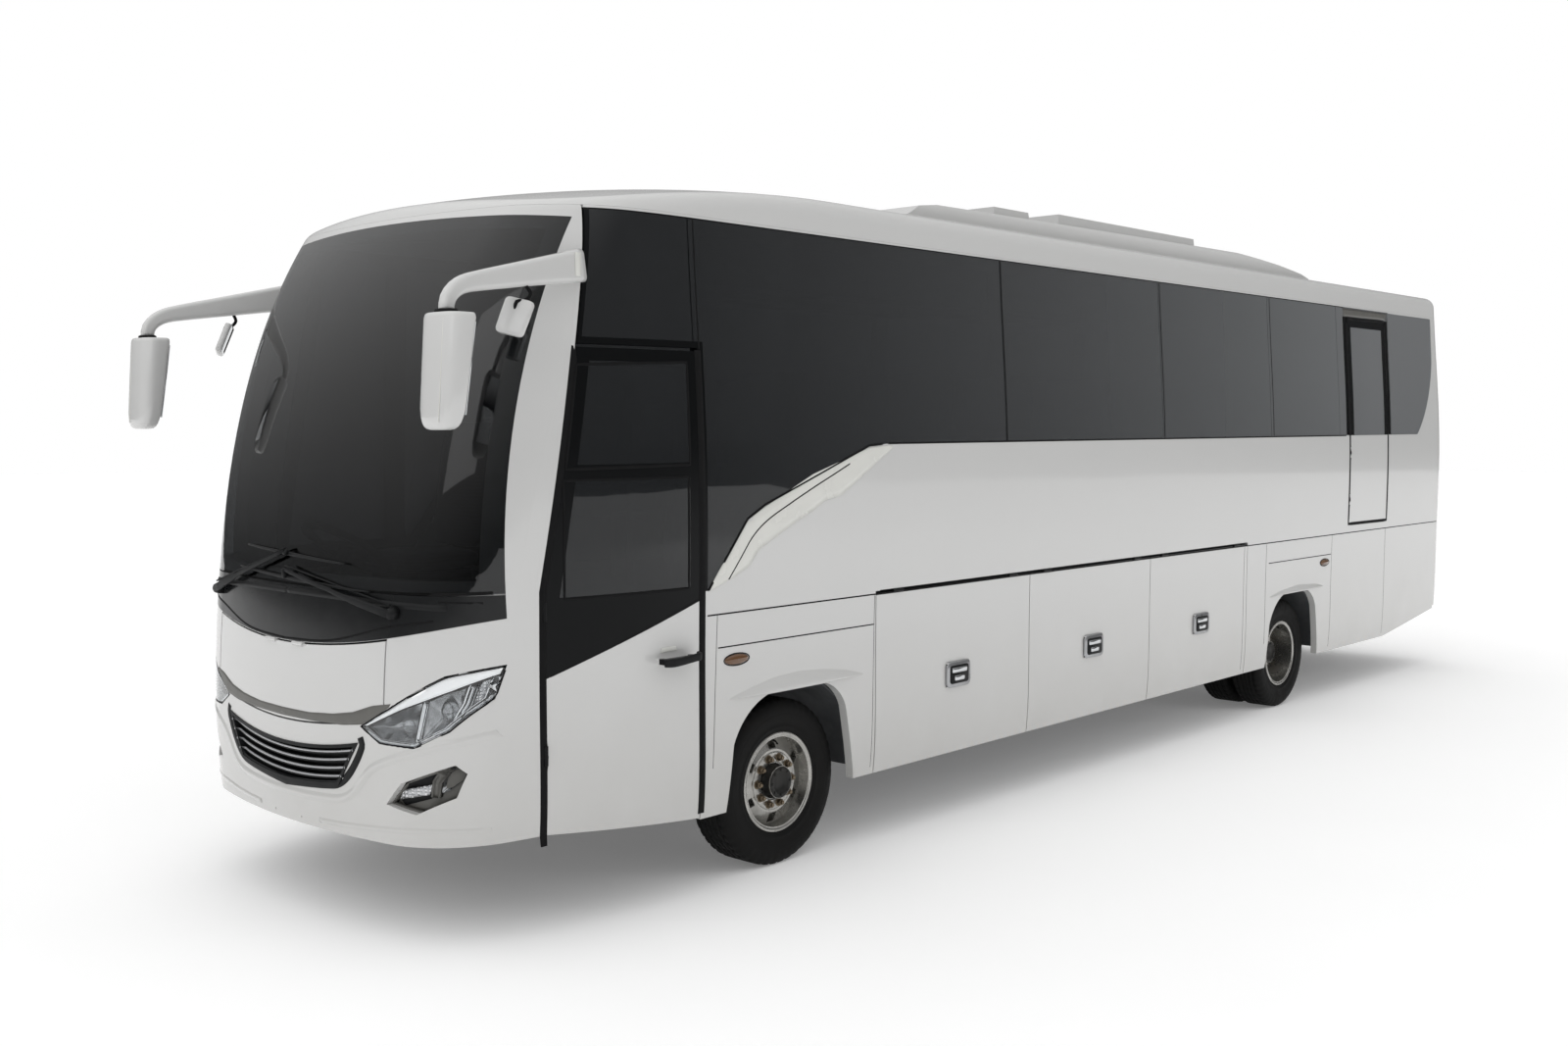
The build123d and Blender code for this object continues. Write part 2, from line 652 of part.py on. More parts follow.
def entrance_door():
    """The passenger door with its hinge barrels and pull handle."""
    front = HINGE_EDGE
    points = [(DOOR_FRONT_Y + front, DOOR_FRONT_BOTTOM_Z), (DOOR_REAR_Y, DOOR_REAR_BOTTOM_Z),
              (DOOR_REAR_Y, DOOR_TOP_Z), (DOOR_TOP_FRONT_Y + front, DOOR_TOP_Z),
              (DOOR_FRONT_Y + front, DOOR_BEND_Z)]
    door = SHELL & prism("x", points, SIDE)
    for pane in door_pane_outlines():
        door = door - prism("x", pane, SIDE, inset=BAND_MARGIN)
        door = door - (REBATE_LAYER & prism("x", pane, SIDE, inset=-GLASS_REST))
    door = joined([door] + hinge_pins(door_axis(), (0, 0, 1), DOOR_HINGE_Z))
    skin_x = taper_x(HALF_WIDTH, DOOR_HANDLE_Y)
    half = DOOR_HANDLE_LENGTH / 2
    handle = block((skin_x - WALL / 2, skin_x + DOOR_HANDLE_DEPTH * 2),
                   (DOOR_HANDLE_Y - half, DOOR_HANDLE_Y + half),
                   (DOOR_HANDLE_Z - DOOR_HANDLE_DEPTH / 2, DOOR_HANDLE_Z + DOOR_HANDLE_DEPTH / 2))
    grip = block((skin_x - WALL, skin_x + DOOR_HANDLE_DEPTH),
                 (DOOR_HANDLE_Y - half + DOOR_HANDLE_DEPTH, DOOR_HANDLE_Y + half - DOOR_HANDLE_DEPTH),
                 (DOOR_HANDLE_Z - DOOR_HANDLE_DEPTH, DOOR_HANDLE_Z + DOOR_HANDLE_DEPTH))
    return door + (handle - grip)


def door_axis():
    return (taper_x(HALF_WIDTH, DOOR_FRONT_Y), DOOR_FRONT_Y, 0.0)


def door_pane_outlines():
    outlines = []
    for low, high in (DOOR_LOW_PANE_Z, DOOR_HIGH_PANE_Z):
        rear = DOOR_REAR_Y - DOOR_PANE_FRAME
        outlines.append([(door_edge_y(low) + DOOR_PANE_FRAME, low), (rear, low), (rear, high),
                         (door_edge_y(high) + DOOR_PANE_FRAME, high)])
    return outlines


def door_glass():
    return [GLASS_LAYER & prism("x", pane, SIDE) for pane in door_pane_outlines()]


def exit_pane_outline():
    front = EXIT_FRONT_Y + EXIT_FRAME
    rear = EXIT_REAR_Y - EXIT_FRAME
    return [(front, BELT_Z), (rear, BELT_Z), (rear, EXIT_TOP_Z - EXIT_FRAME), (front, EXIT_TOP_Z - EXIT_FRAME)]


def exit_door():
    points = block(SIDE, (EXIT_FRONT_Y + HINGE_EDGE, EXIT_REAR_Y), (EXIT_BOTTOM_Z, EXIT_TOP_Z))
    door = SHELL & points
    door = door - prism("x", exit_pane_outline(), SIDE, inset=BAND_MARGIN)
    door = door - (REBATE_LAYER & prism("x", exit_pane_outline(), SIDE, inset=-GLASS_REST))
    return joined([door] + hinge_pins((HALF_WIDTH, EXIT_FRONT_Y, 0.0), (0, 0, 1), EXIT_HINGE_Z))


def exit_glass():
    return GLASS_LAYER & prism("x", exit_pane_outline(), SIDE)


def luggage_flap(front, rear):
    """A bay flap with its hinge barrels and a dished square catch."""
    low = SKIRT_Z
    flap = SHELL & block(SIDE, (front + FLAP_GAP / 2, rear - FLAP_GAP / 2), (low, SKIRT_LINE_Z - HINGE_EDGE))
    flap = joined([flap] + hinge_pins(flap_axis(), (0, 1, 0), flap_hinges(front, rear)))
    middle = (front + rear) / 2
    half = FLAP_HANDLE_WIDTH / 2
    tall = FLAP_HANDLE_HEIGHT / 2
    plate = block((HALF_WIDTH - WALL + BAY_WALL_BACK, HALF_WIDTH + FLAP_HANDLE_PROUD),
                  (middle - half, middle + half), (FLAP_HANDLE_Z - tall, FLAP_HANDLE_Z + tall))
    rim = FLAP_HANDLE_DISH
    dish = block((HALF_WIDTH - FLAP_HANDLE_DISH, HALF_WIDTH + OVERRUN),
                 (middle - half + rim, middle + half - rim),
                 (FLAP_HANDLE_Z - tall + rim, FLAP_HANDLE_Z))
    return flap + plate - dish


def luggage_bay():
    """One side's luggage space: floor, inner wall and cross walls, open to the flaps."""
    outer_x = HALF_WIDTH - WALL - BAY_WALL_BACK * 4
    low = SKIRT_Z + BAY_WALL_BACK * 3
    high = FLOOR_TOP_Z - FLOOR_THICK
    front = FLAP_Y[0] + FLAP_GAP
    rear = FLAP_Y[-1] - FLAP_GAP
    pieces = [block((BAY_INNER_X, outer_x), (front, rear), (low, low + BAY_SHEET))]
    pieces += [block((BAY_INNER_X, BAY_INNER_X + BAY_SHEET), (front, rear), (low, high))]
    for wall_y in (front + BAY_SHEET / 2, FLAP_Y[1], FLAP_Y[2], rear - BAY_SHEET / 2):
        pieces += [block((BAY_INNER_X, outer_x), (wall_y - BAY_SHEET / 2, wall_y + BAY_SHEET / 2), (low, high))]
    return joined(pieces)


def screen_outline():
    """Windscreen and cowl band together, seen from the front."""
    return [(-SCREEN_BOTTOM_X, COWL_CORNER_Z), ((0, COWL_BOTTOM_Z), (SCREEN_BOTTOM_X, COWL_CORNER_Z)),
            (SCREEN_TOP_X, SCREEN_TOP_SIDE_Z), ((0, SCREEN_TOP_Z), (-SCREEN_TOP_X, SCREEN_TOP_SIDE_Z))]


FRONT = (NOSE_Y - OVERRUN, -FRONT_OVERHANG / 2)
LAMP_SPAN = (NOSE_Y - OVERRUN, DOOR_FRONT_Y - HINGE_SEAT * 2)


def bonnet_outline():
    """Outer edge of the bonnet flap: its top runs parallel to the cowl band above it."""
    top_mid = COWL_BOTTOM_Z - HINGE_SEAT - HINGE_EDGE
    rise = (COWL_CORNER_Z - COWL_BOTTOM_Z) * (BONNET_HALF_WIDTH / SCREEN_BOTTOM_X) ** 2
    half = BONNET_HALF_WIDTH
    return [(-half, top_mid + rise), ((0, top_mid), (half, top_mid + rise)), (half, BONNET_CORNER_Z),
            (BONNET_LOW_X, BONNET_LOW_Z), ((0, BONNET_BOTTOM_Z), (-BONNET_LOW_X, BONNET_LOW_Z)),
            (-half, BONNET_CORNER_Z)]


def bonnet_axis():
    height = COWL_BOTTOM_Z - HINGE_SEAT
    return (0.0, nose_at(height), height)


def bonnet_flap():
    """A skin to the full outline, stiffened by a thicker pan inside it, with two hinge barrels."""
    outline_ = bonnet_outline()
    cover = (SKIN - skin(BONNET_SKIN)) & prism("y", outline_, FRONT)
    pan = (skin(BONNET_SKIN / 2) - skin(WALL)) & prism("y", outline_, FRONT, inset=BONNET_PAN_INSET)
    return joined([cover, pan] + hinge_pins(bonnet_axis(), (1, 0, 0), (-BONNET_HINGE_X, BONNET_HINGE_X)))


def grille_outline():
    return [(-GRILLE_TOP_X, GRILLE_TOP_Z), ((0, GRILLE_TOP_DIP_Z), (GRILLE_TOP_X, GRILLE_TOP_Z)),
            (GRILLE_LOW_X, GRILLE_LOW_Z), ((0, GRILLE_LOW_DIP_Z), (-GRILLE_LOW_X, GRILLE_LOW_Z))]


def front_panel():
    """Nose panel with bumper and front pillars, from the skirt to the roof joint."""
    top = ROOF_JOINT_Z - PANEL_GAP
    low = BUMPER_BOTTOM_Z
    rear = -HINGE_SEAT
    points = [(NOSE_Y - OVERRUN, low), (DOOR_FRONT_Y + rear, DOOR_FRONT_BOTTOM_Z),
              (DOOR_FRONT_Y + rear, DOOR_BEND_Z), (door_edge_y(top) + rear, top), (NOSE_Y - OVERRUN, top)]
    across = (-HALF_WIDTH - OVERRUN, HALF_WIDTH + OVERRUN)
    panel = SHELL & prism("x", points, across)
    screen = screen_outline()
    panel = panel - (REBATE_LAYER & prism("y", screen, FRONT, inset=-GLASS_REST))
    opening = prism("y", screen, FRONT, inset=SCREEN_BORDER)
    panel = panel - (opening & block(across, FRONT, (COWL_SPLIT_Z + SCREEN_BORDER, ROOF_CREST)))
    panel = panel - prism("y", bonnet_outline(), FRONT, inset=-BONNET_GAP)
    panel = without(panel, hinge_grooves(bonnet_axis(), (1, 0, 0), (-BONNET_HINGE_X, BONNET_HINGE_X)))
    for lamp in (HEADLAMP, FOG_LAMP):
        hole = prism("y", list(lamp), LAMP_SPAN, inset=-LAMP_SET)
        panel = panel - hole - mirrored(hole)
    panel = panel - prism("y", grille_outline(), FRONT)
    hinge = [(x, y, z) for x, y, z in [door_axis()]]
    panel = without(panel, hinge_grooves(hinge[0], (0, 0, 1), DOOR_HINGE_Z))
    for side in (-1, 1):
        panel = panel - rod((side * PLATE_HOLE_X, FRONT[0], PLATE_HOLE_Z),
                            (side * PLATE_HOLE_X, FRONT[1], PLATE_HOLE_Z), PLATE_HOLE_R)
    return panel


def windscreen():
    split = block((-HALF_WIDTH, HALF_WIDTH), FRONT, (COWL_SPLIT_Z + GLASS_GAP / 2, ROOF_CREST))
    return GLASS_LAYER & prism("y", screen_outline(), FRONT) & split


def cowl_band():
    split = block((-HALF_WIDTH, HALF_WIDTH), FRONT, (SKIRT_Z, COWL_SPLIT_Z - GLASS_GAP / 2))
    return GLASS_LAYER & prism("y", screen_outline(), FRONT) & split


def front_lamp(outline_, set_back):
    """A lamp unit filling its hole through the nose panel, its lens a little behind the skin."""
    return (skin(set_back) - skin(LAMP_DEPTH)) & prism("y", list(outline_), LAMP_SPAN)


def grille():
    """Frame, four bowed slats and the dark back plate, all following the curve of the nose."""
    outline_ = grille_outline()
    full = prism("y", outline_, FRONT, inset=FIT)
    frame = (skin(-GRILLE_BACK / 2) - skin(GRILLE_DEPTH)) & full
    frame = frame - prism("y", outline_, FRONT, inset=GRILLE_FRAME)
    back = (skin(GRILLE_DEPTH - GRILLE_BACK) - skin(GRILLE_DEPTH)) & full
    pieces = [frame, back]
    pitch = 1.0 / (GRILLE_SLATS + 1)
    for row in range(1, GRILLE_SLATS + 1):
        share = row * pitch
        slat = slat_outline(share - pitch * GRILLE_SLAT_SHARE / 2, share + pitch * GRILLE_SLAT_SHARE / 2)
        pieces.append((skin(GRILLE_SET) - skin(GRILLE_DEPTH - GRILLE_BACK / 2)) & prism("y", slat, FRONT))
    return joined(pieces)


def slat_outline(low_share, high_share):
    """A slat lies between two arcs that blend from the grille's lower edge to its upper edge."""
    def level(share):
        end_x = GRILLE_LOW_X + (GRILLE_TOP_X - GRILLE_LOW_X) * share - GRILLE_FRAME / 2
        end_z = GRILLE_LOW_Z + (GRILLE_TOP_Z - GRILLE_LOW_Z) * share
        dip_z = GRILLE_LOW_DIP_Z + (GRILLE_TOP_DIP_Z - GRILLE_LOW_DIP_Z) * share
        return end_x, end_z, dip_z
    low_x, low_z, low_dip = level(low_share)
    high_x, high_z, high_dip = level(high_share)
    return [(-low_x, low_z), ((0, low_dip), (low_x, low_z)), (high_x, high_z), ((0, high_dip), (-high_x, high_z))]


def roof():
    region = block((-HALF_WIDTH - OVERRUN, HALF_WIDTH + OVERRUN), (NOSE_Y - OVERRUN, TAIL_Y + OVERRUN),
                   (ROOF_JOINT_Z, ROOF_CREST + OVERRUN))
    return SHELL & region


REAR = (TAIL_Y - FRONT_OVERHANG / 2, TAIL_Y + OVERRUN)


def rear_wall():
    region = block((-HALF_WIDTH - OVERRUN, HALF_WIDTH + OVERRUN), (TAIL_JOINT_Y + PANEL_GAP, TAIL_Y + OVERRUN),
                   (TAIL_BOTTOM_Z, ROOF_JOINT_Z - PANEL_GAP))
    wall = SHELL & region
    half = BOOT_HALF_WIDTH + FLAP_GAP
    wall = wall - block((-half, half), REAR, (BOOT_BOTTOM_Z - FLAP_GAP, BOOT_HINGE_Z + HINGE_SEAT))
    wall = without(wall, hinge_grooves(boot_axis(), (1, 0, 0), (-BOOT_HINGE_X, BOOT_HINGE_X)))
    pane = rear_pane_outline()
    wall = wall - prism("y", pane, REAR, inset=SCREEN_BORDER)
    wall = wall - (REBATE_LAYER & prism("y", pane, REAR, inset=-GLASS_REST))
    lamp = tail_lamp_hole(LAMP_SET)
    return wall - lamp - mirrored(lamp)


def boot_axis():
    return (0.0, TAIL_Y, BOOT_HINGE_Z)


def boot_lid():
    lid = SHELL & block((-BOOT_HALF_WIDTH, BOOT_HALF_WIDTH), REAR, (BOOT_BOTTOM_Z, BOOT_HINGE_Z - HINGE_EDGE))
    return joined([lid] + hinge_pins(boot_axis(), (1, 0, 0), (-BOOT_HINGE_X, BOOT_HINGE_X)))


def rear_pane_outline():
    half = REAR_GLASS_HALF_WIDTH
    low, high = REAR_GLASS_Z
    return [(-half, low), (half, low), (half, high), (-half, high)]


def rear_glass():
    return GLASS_LAYER & prism("y", rear_pane_outline(), REAR)


def tail_lamp_hole(grow):
    return block((TAIL_LAMP_X[0] - grow, TAIL_LAMP_X[1] + grow), REAR,
                 (TAIL_LAMP_Z[0] - grow, TAIL_LAMP_Z[1] + grow))


def tail_lamp():
    return (skin(-LAMP_SET) - skin(LAMP_DEPTH)) & tail_lamp_hole(0.0)


def rear_bumper():
    """A bar across the tail, proud of the panel and open towards it."""
    low, high = BUMPER_Z
    half = BUMPER_HALF_WIDTH
    outer = block((-half, half), (TAIL_Y - BUMPER_INNER, TAIL_Y + BUMPER_PROUD), (low, high))
    return outer - skin(-GLASS_REST)


def roof_air_unit():
    """A long low pod with raised covers, its foot following the roof's crown."""
    base = ROOF_CREST
    profile = [(AIR_FRONT_Y + along * AIR_LENGTH, base + up * AIR_TOP) for along, up in AIR_SHARES]
    sink = base - AIR_SINK * 2
    outline_ = [(AIR_FRONT_Y, sink)] + profile + [(AIR_FRONT_Y + AIR_LENGTH, sink)]
    pod = prism("x", outline_, (-AIR_HALF_WIDTH, AIR_HALF_WIDTH))
    half = AIR_HALF_WIDTH
    shoulder = AIR_SHOULDER
    lean = shoulder / 4
    head = base + AIR_TOP * 1.0 + OVERRUN
    section = [(-half, sink), (half, sink), (half - lean, base),
               ((half - shoulder * 0.5, base + AIR_TOP * 0.72), (half - shoulder * 1.6, base + AIR_TOP)),
               (half - shoulder * 1.6, head), (-half + shoulder * 1.6, head),
               (-half + shoulder * 1.6, base + AIR_TOP),
               ((-half + shoulder * 0.5, base + AIR_TOP * 0.72), (-half + lean, base))]
    pod = pod & prism("y", section, (AIR_FRONT_Y, AIR_FRONT_Y + AIR_LENGTH))
    for start, end, top in AIR_COVER_SHARES:
        front = AIR_FRONT_Y + start * AIR_LENGTH
        rear = AIR_FRONT_Y + end * AIR_LENGTH
        high = base + top * AIR_TOP
        c = AIR_COVER_CHAMFER
        cover = prism("x", [(front - c, base), (front, high), (rear - c * 2, high), (rear, base)],
                      (-AIR_COVER_HALF_WIDTH, AIR_COVER_HALF_WIDTH))
        pod = pod + cover
    return pod - AIR_SEAT


AIR_SEAT = skin(-OVERRUN) - above_roof(-FIT)


def mirror_arm():
    """One mirror: blade arm from the pillar, bend, stem and head, all one white moulding."""
    root_x, root_y, root_z = MIRROR_ROOT
    reach = math.hypot(MIRROR_HEAD_X - root_x, MIRROR_HEAD_Y - root_y)
    thick = MIRROR_ARM_THICK / 2
    half_root = MIRROR_ARM_ROOT_HEIGHT / 2
    top = MIRROR_STEM_TOP_Z
    stem = MIRROR_STEM_R
    drop = MIRROR_ARM_HEIGHT
    head_top = MIRROR_HEAD_Z[1]
    outline_ = [(0.0, root_z + half_root), (reach - stem * 3, top),
                ((reach - stem * 0.2, top - stem * 0.9), (reach + stem, top - stem * 3.4)),
                (reach + stem, head_top - stem), (reach - stem, head_top - stem),
                (reach - stem, top - drop - stem * 1.6),
                ((reach - stem * 1.5, top - drop - stem * 0.45), (reach - stem * 3, top - drop)),
                (0.0, root_z - half_root)]
    arm = prism("x", outline_, (-thick, thick))
    angle = math.degrees(math.atan2(MIRROR_HEAD_X - root_x, root_y - MIRROR_HEAD_Y))
    arm = Pos(root_x, root_y, 0.0) * Rot(0, 0, 180.0 + angle) * arm
    low, high = MIRROR_HEAD_Z
    half = MIRROR_HEAD_WIDTH / 2
    deep = MIRROR_HEAD_DEPTH / 2
    plan = [(MIRROR_HEAD_X - half, MIRROR_HEAD_Y + deep), (MIRROR_HEAD_X + half, MIRROR_HEAD_Y + deep),
            (MIRROR_HEAD_X + half, MIRROR_HEAD_Y),
            ((MIRROR_HEAD_X, MIRROR_HEAD_Y - deep), (MIRROR_HEAD_X - half, MIRROR_HEAD_Y))]
    head = prism("z", plan, (low, high))
    ends = head.faces().sort_by(Axis.Z)
    head = chamfer(ends[0].edges() + ends[-1].edges(), MIRROR_HEAD_CHAMFER)
    return (arm + head + kerb_mirror()) - MIRROR_SEAT


def kerb_mirror():
    """The small second mirror: crowned housing on a stalk that runs up into the arm."""
    root_x, root_y, root_z = MIRROR_ROOT
    place_x = root_x + (MIRROR_HEAD_X - root_x) * KERB_MIRROR_SHARE
    place_y = root_y + (MIRROR_HEAD_Y - root_y) * KERB_MIRROR_SHARE
    end_z = MIRROR_STEM_TOP_Z - MIRROR_ARM_HEIGHT / 2
    arm_z = root_z + (end_z - root_z) * KERB_MIRROR_SHARE
    top = arm_z - MIRROR_ARM_ROOT_HEIGHT / 2 - KERB_STALK_LENGTH
    half = KERB_MIRROR_WIDTH / 2
    edge = KERB_MIRROR_DEPTH / 2
    plan = [(-half, 0.0), (half, 0.0), (half, -edge), ((0.0, -KERB_MIRROR_DEPTH), (-half, -edge))]
    housing = prism("z", plan, (top - KERB_MIRROR_HEIGHT, top))
    ends = housing.faces().sort_by(Axis.Z)
    housing = chamfer(ends[0].edges() + ends[-1].edges(), KERB_MIRROR_CHAMFER)
    stalk = rod((0.0, -edge / 2, top - KERB_STALK_LENGTH), (0.0, -edge / 2, arm_z), KERB_STALK_R)
    return Pos(place_x, place_y, 0.0) * Rot(0, 0, KERB_MIRROR_TURN) * (housing + stalk)


MIRROR_SEAT = hull(-FIT)


def wipers():
    """Two arms on pivots at the foot of the screen, each holding a blade at its end."""
    pieces = []
    for side, (end_x, end_z) in zip((1, -1), WIPER_ENDS):
        root_y = surface_y(WIPER_PIVOT_X, WIPER_PIVOT_Z)
        root = (side * WIPER_PIVOT_X, root_y - WIPER_LIFT, WIPER_PIVOT_Z)
        lift = WIPER_LIFT * (3 if side > 0 else 6)
        end = (end_x, nose_at(end_z) - lift, end_z)
        pivot = rod((root[0], root_y - WIPER_PIVOT_HEIGHT, root[2]), (root[0], root_y + FIT, root[2]),
                    WIPER_PIVOT_R)
        arm = bar(root, end, WIPER_ARM, WIPER_ARM / 2)
        half = WIPER_BLADE_LENGTH / 2
        blade = block((-half, half), (end[1] - WIPER_BLADE / 2, end[1] + WIPER_BLADE * 2),
                      (end_z - WIPER_BLADE, end_z + WIPER_BLADE))
        pieces.append((pivot + arm + blade) - skin(-FIT))
    return pieces


def surface_y(across, height):
    """Where the skin lies at a point seen from the front."""
    pad = WIPER_ARM / 4
    slice_ = SKIN & block((across - pad, across + pad), (NOSE_Y - OVERRUN, 0), (height - pad, height + pad))
    return slice_.bounding_box().min.Y


def bar(start, end, wide, thick):
    """A flat bar between two points, its wide face upright."""
    along = Vector(*end) - Vector(*start)
    middle = (Vector(*start) + Vector(*end)) * 0.5
    place = Plane(origin=middle, z_dir=along, x_dir=Vector(0, 1, 0).cross(along))
    return place * Box(wide, thick, along.length)


def tyre(inner):
    """Half profiles: tread, belly and bead; an inner twin has straight sides."""
    belly = TYRE_WIDTH / 2
    tread = TYRE_TREAD_WIDTH / 2
    bead = RIM_WIDTH / 2 - RIM_LIP
    outer_side = [(bead, BEAD_R + FIT), (belly, TYRE_BELLY_R), (tread, TYRE_R)]
    inner_side = [(-tread, TYRE_R), (-belly, TYRE_BELLY_R), (-bead, BEAD_R + FIT)]
    if inner:
        outer_side = [(bead, BEAD_R + FIT), (belly - RIM_LIP, TYRE_R)]
        inner_side = [(-belly + RIM_LIP, TYRE_R), (-bead, BEAD_R + FIT)]
    return outer_side + inner_side


def hand_holes(pitch_r, near, far):
    """Tapered slots round the wheel disc."""
    pieces = []
    for n in range(HAND_HOLES):
        hole = block((near, far), (-HAND_HOLE_R, HAND_HOLE_R), (pitch_r - HAND_HOLE_R, pitch_r + HAND_HOLE_R))
        pieces.append(Rot(360.0 * n / HAND_HOLES, 0, 0) * hole)
    return pieces


SPINDLE_BORE_R = SPINDLE_R + FIT
DISH_R = BEAD_R - RIM_LIP - BAND_MARGIN / 6


def front_rim():
    half = RIM_WIDTH / 2
    lip = half + RIM_LIP
    outline_ = [(-half / 4, 0.0), (-half / 4, SPINDLE_BORE_R), (-half, SPINDLE_BORE_R), (-half, BEAD_R),
                (half - RIM_LIP, BEAD_R), (lip, RIM_LIP_R), (lip, DISH_R), (half * 0.4, DISH_R),
                (half * 0.7, DISH_R * 0.7), (half * 0.7, HUB_R), (HUB_PROUD, HUB_R), (HUB_PROUD, 0.0)]
    rim = turned(outline_, (0, 0, 0))
    return without(rim, hand_holes(HAND_HOLE_PITCH_R, 0.0, lip))


def rear_rim():
    half = RIM_WIDTH / 2
    lip = half + RIM_LIP
    back = -TWIN_SPACING - half
    disc = -TWIN_SPACING / 2 + RIM_LIP * 2
    outline_ = [(disc - half, 0.0), (disc - half, SPINDLE_BORE_R), (back, SPINDLE_BORE_R), (back, BEAD_R),
                (half - RIM_LIP, BEAD_R), (lip, RIM_LIP_R), (lip, DISH_R), (disc + half * 0.5, DISH_R),
                (disc, DISH_R * 0.7), (disc, HUB_R), (half * 0.3, HUB_R), (half * 0.3, 0.0)]
    rim = turned(outline_, (0, 0, 0))
    return without(rim, hand_holes(HAND_HOLE_PITCH_R, disc - half / 4, 0.0))


AXLE_Z = TYRE_R


def front_beam():
    """Dropped beam with an eye and kingpin at each end."""
    half_w = BEAM_WIDTH / 2
    half_d = BEAM_DEPTH / 2
    low = AXLE_Z - BEAM_DROP
    knee = SPRING_X + SPRING_WIDTH
    eye = KINGPIN_X
    flat = KINGPIN_X - BEAM_WIDTH * 0.75
    outline_ = [(-eye, AXLE_Z + half_d), (-flat, AXLE_Z + half_d), (-knee, low + half_d), (knee, low + half_d),
                (flat, AXLE_Z + half_d), (eye, AXLE_Z + half_d), (eye, AXLE_Z - half_d), (flat, AXLE_Z - half_d),
                (knee, low - half_d), (-knee, low - half_d), (-flat, AXLE_Z - half_d), (-eye, AXLE_Z - half_d)]
    beam = prism("y", outline_, (-half_w, half_w))
    for side in (-1, 1):
        beam = beam + rod((side * eye, 0, AXLE_Z - half_d), (side * eye, 0, AXLE_Z + half_d), half_w)
        beam = beam + rod((side * eye, 0, AXLE_Z - KNUCKLE_HALF), (side * eye, 0, AXLE_Z + KNUCKLE_HALF), KINGPIN_R)
    return beam


def knuckle():
    """Fork round the beam's eye, spindle for the wheel and arm for the tie rod."""
    half_w = BEAM_WIDTH / 2
    eye_half = BEAM_DEPTH / 2 + FIT * 5
    ears = [rod((KINGPIN_X, 0, AXLE_Z + eye_half), (KINGPIN_X, 0, AXLE_Z + KNUCKLE_HALF), half_w)]
    ears += [rod((KINGPIN_X, 0, AXLE_Z - KNUCKLE_HALF), (KINGPIN_X, 0, AXLE_Z - eye_half), half_w)]
    face_x = WHEEL_X - RIM_WIDTH / 2 - FLAP_GAP
    yoke = block((KINGPIN_X, face_x), (-half_w, half_w), (AXLE_Z - KNUCKLE_HALF, AXLE_Z + KNUCKLE_HALF))
    yoke = yoke - rod((KINGPIN_X, 0, AXLE_Z - eye_half), (KINGPIN_X, 0, AXLE_Z + eye_half), half_w + FLAP_GAP)
    spindle = rod((face_x - FLAP_GAP, 0, AXLE_Z), (WHEEL_X - RIM_WIDTH / 4, 0, AXLE_Z), SPINDLE_R)
    arm_z = (AXLE_Z - KNUCKLE_HALF - STEER_ARM_THICK, AXLE_Z - KNUCKLE_HALF)
    arm = block((KINGPIN_X - KINGPIN_R, KINGPIN_X + KINGPIN_R), (0, STEER_ARM + KINGPIN_R), arm_z)
    ball = rod((KINGPIN_X, STEER_ARM, arm_z[0]), (KINGPIN_X, STEER_ARM, AXLE_Z + STEER_ARM_Z + TIE_ROD_R + FIT * 5), BALL_R)
    whole = joined(ears + [yoke, spindle, arm, ball])
    return whole - rod((KINGPIN_X, 0, AXLE_Z - KNUCKLE_HALF - OVERRUN), (KINGPIN_X, 0, AXLE_Z + KNUCKLE_HALF + OVERRUN),
                       KINGPIN_R + FIT)


BALL_R = 11.0
EYE_R = 24.0


def tie_rod():
    """Bar between the two steering arms, with an eye over each ball pin."""
    height = AXLE_Z + STEER_ARM_Z
    whole = rod((-KINGPIN_X, STEER_ARM, height), (KINGPIN_X, STEER_ARM, height), TIE_ROD_R - FIT * 10)
    for side in (-1, 1):
        whole = whole + rod((side * KINGPIN_X, STEER_ARM, height - TIE_ROD_R + FIT * 5),
                            (side * KINGPIN_X, STEER_ARM, height + TIE_ROD_R), EYE_R)
        whole = whole - rod((side * KINGPIN_X, STEER_ARM, height - OVERRUN),
                            (side * KINGPIN_X, STEER_ARM, height + OVERRUN), BALL_R + FIT)
    return whole


def leaf_spring(axle_y, seat_z):
    """Bowed pack from hanger to hanger, with the hangers up to the rail."""
    top = seat_z + SPRING_THICK
    rise = (RAIL_Z[0] - top) * SPRING_RISE_SHARE
    mid = SPRING_HALF
    outline_ = [(-mid, seat_z + rise), ((0, seat_z), (mid, seat_z + rise)),
                (mid, top + rise), ((0, top), (-mid, top + rise))]
    half = SPRING_WIDTH / 2

    def shifted(p):
        return tuple(shifted(q) for q in p) if isinstance(p[0], tuple) else (p[0] + axle_y, p[1])
    spring = prism("x", [shifted(p) for p in outline_], (SPRING_X - half, SPRING_X + half))
    for end in (-1, 1):
        middle = axle_y + end * (SPRING_HALF - HANGER_HALF)
        spring = spring + block((SPRING_X - half, SPRING_X + half), (middle - HANGER_HALF, middle + HANGER_HALF),
                                (seat_z + rise, RAIL_Z[0] - FIT))
    return spring


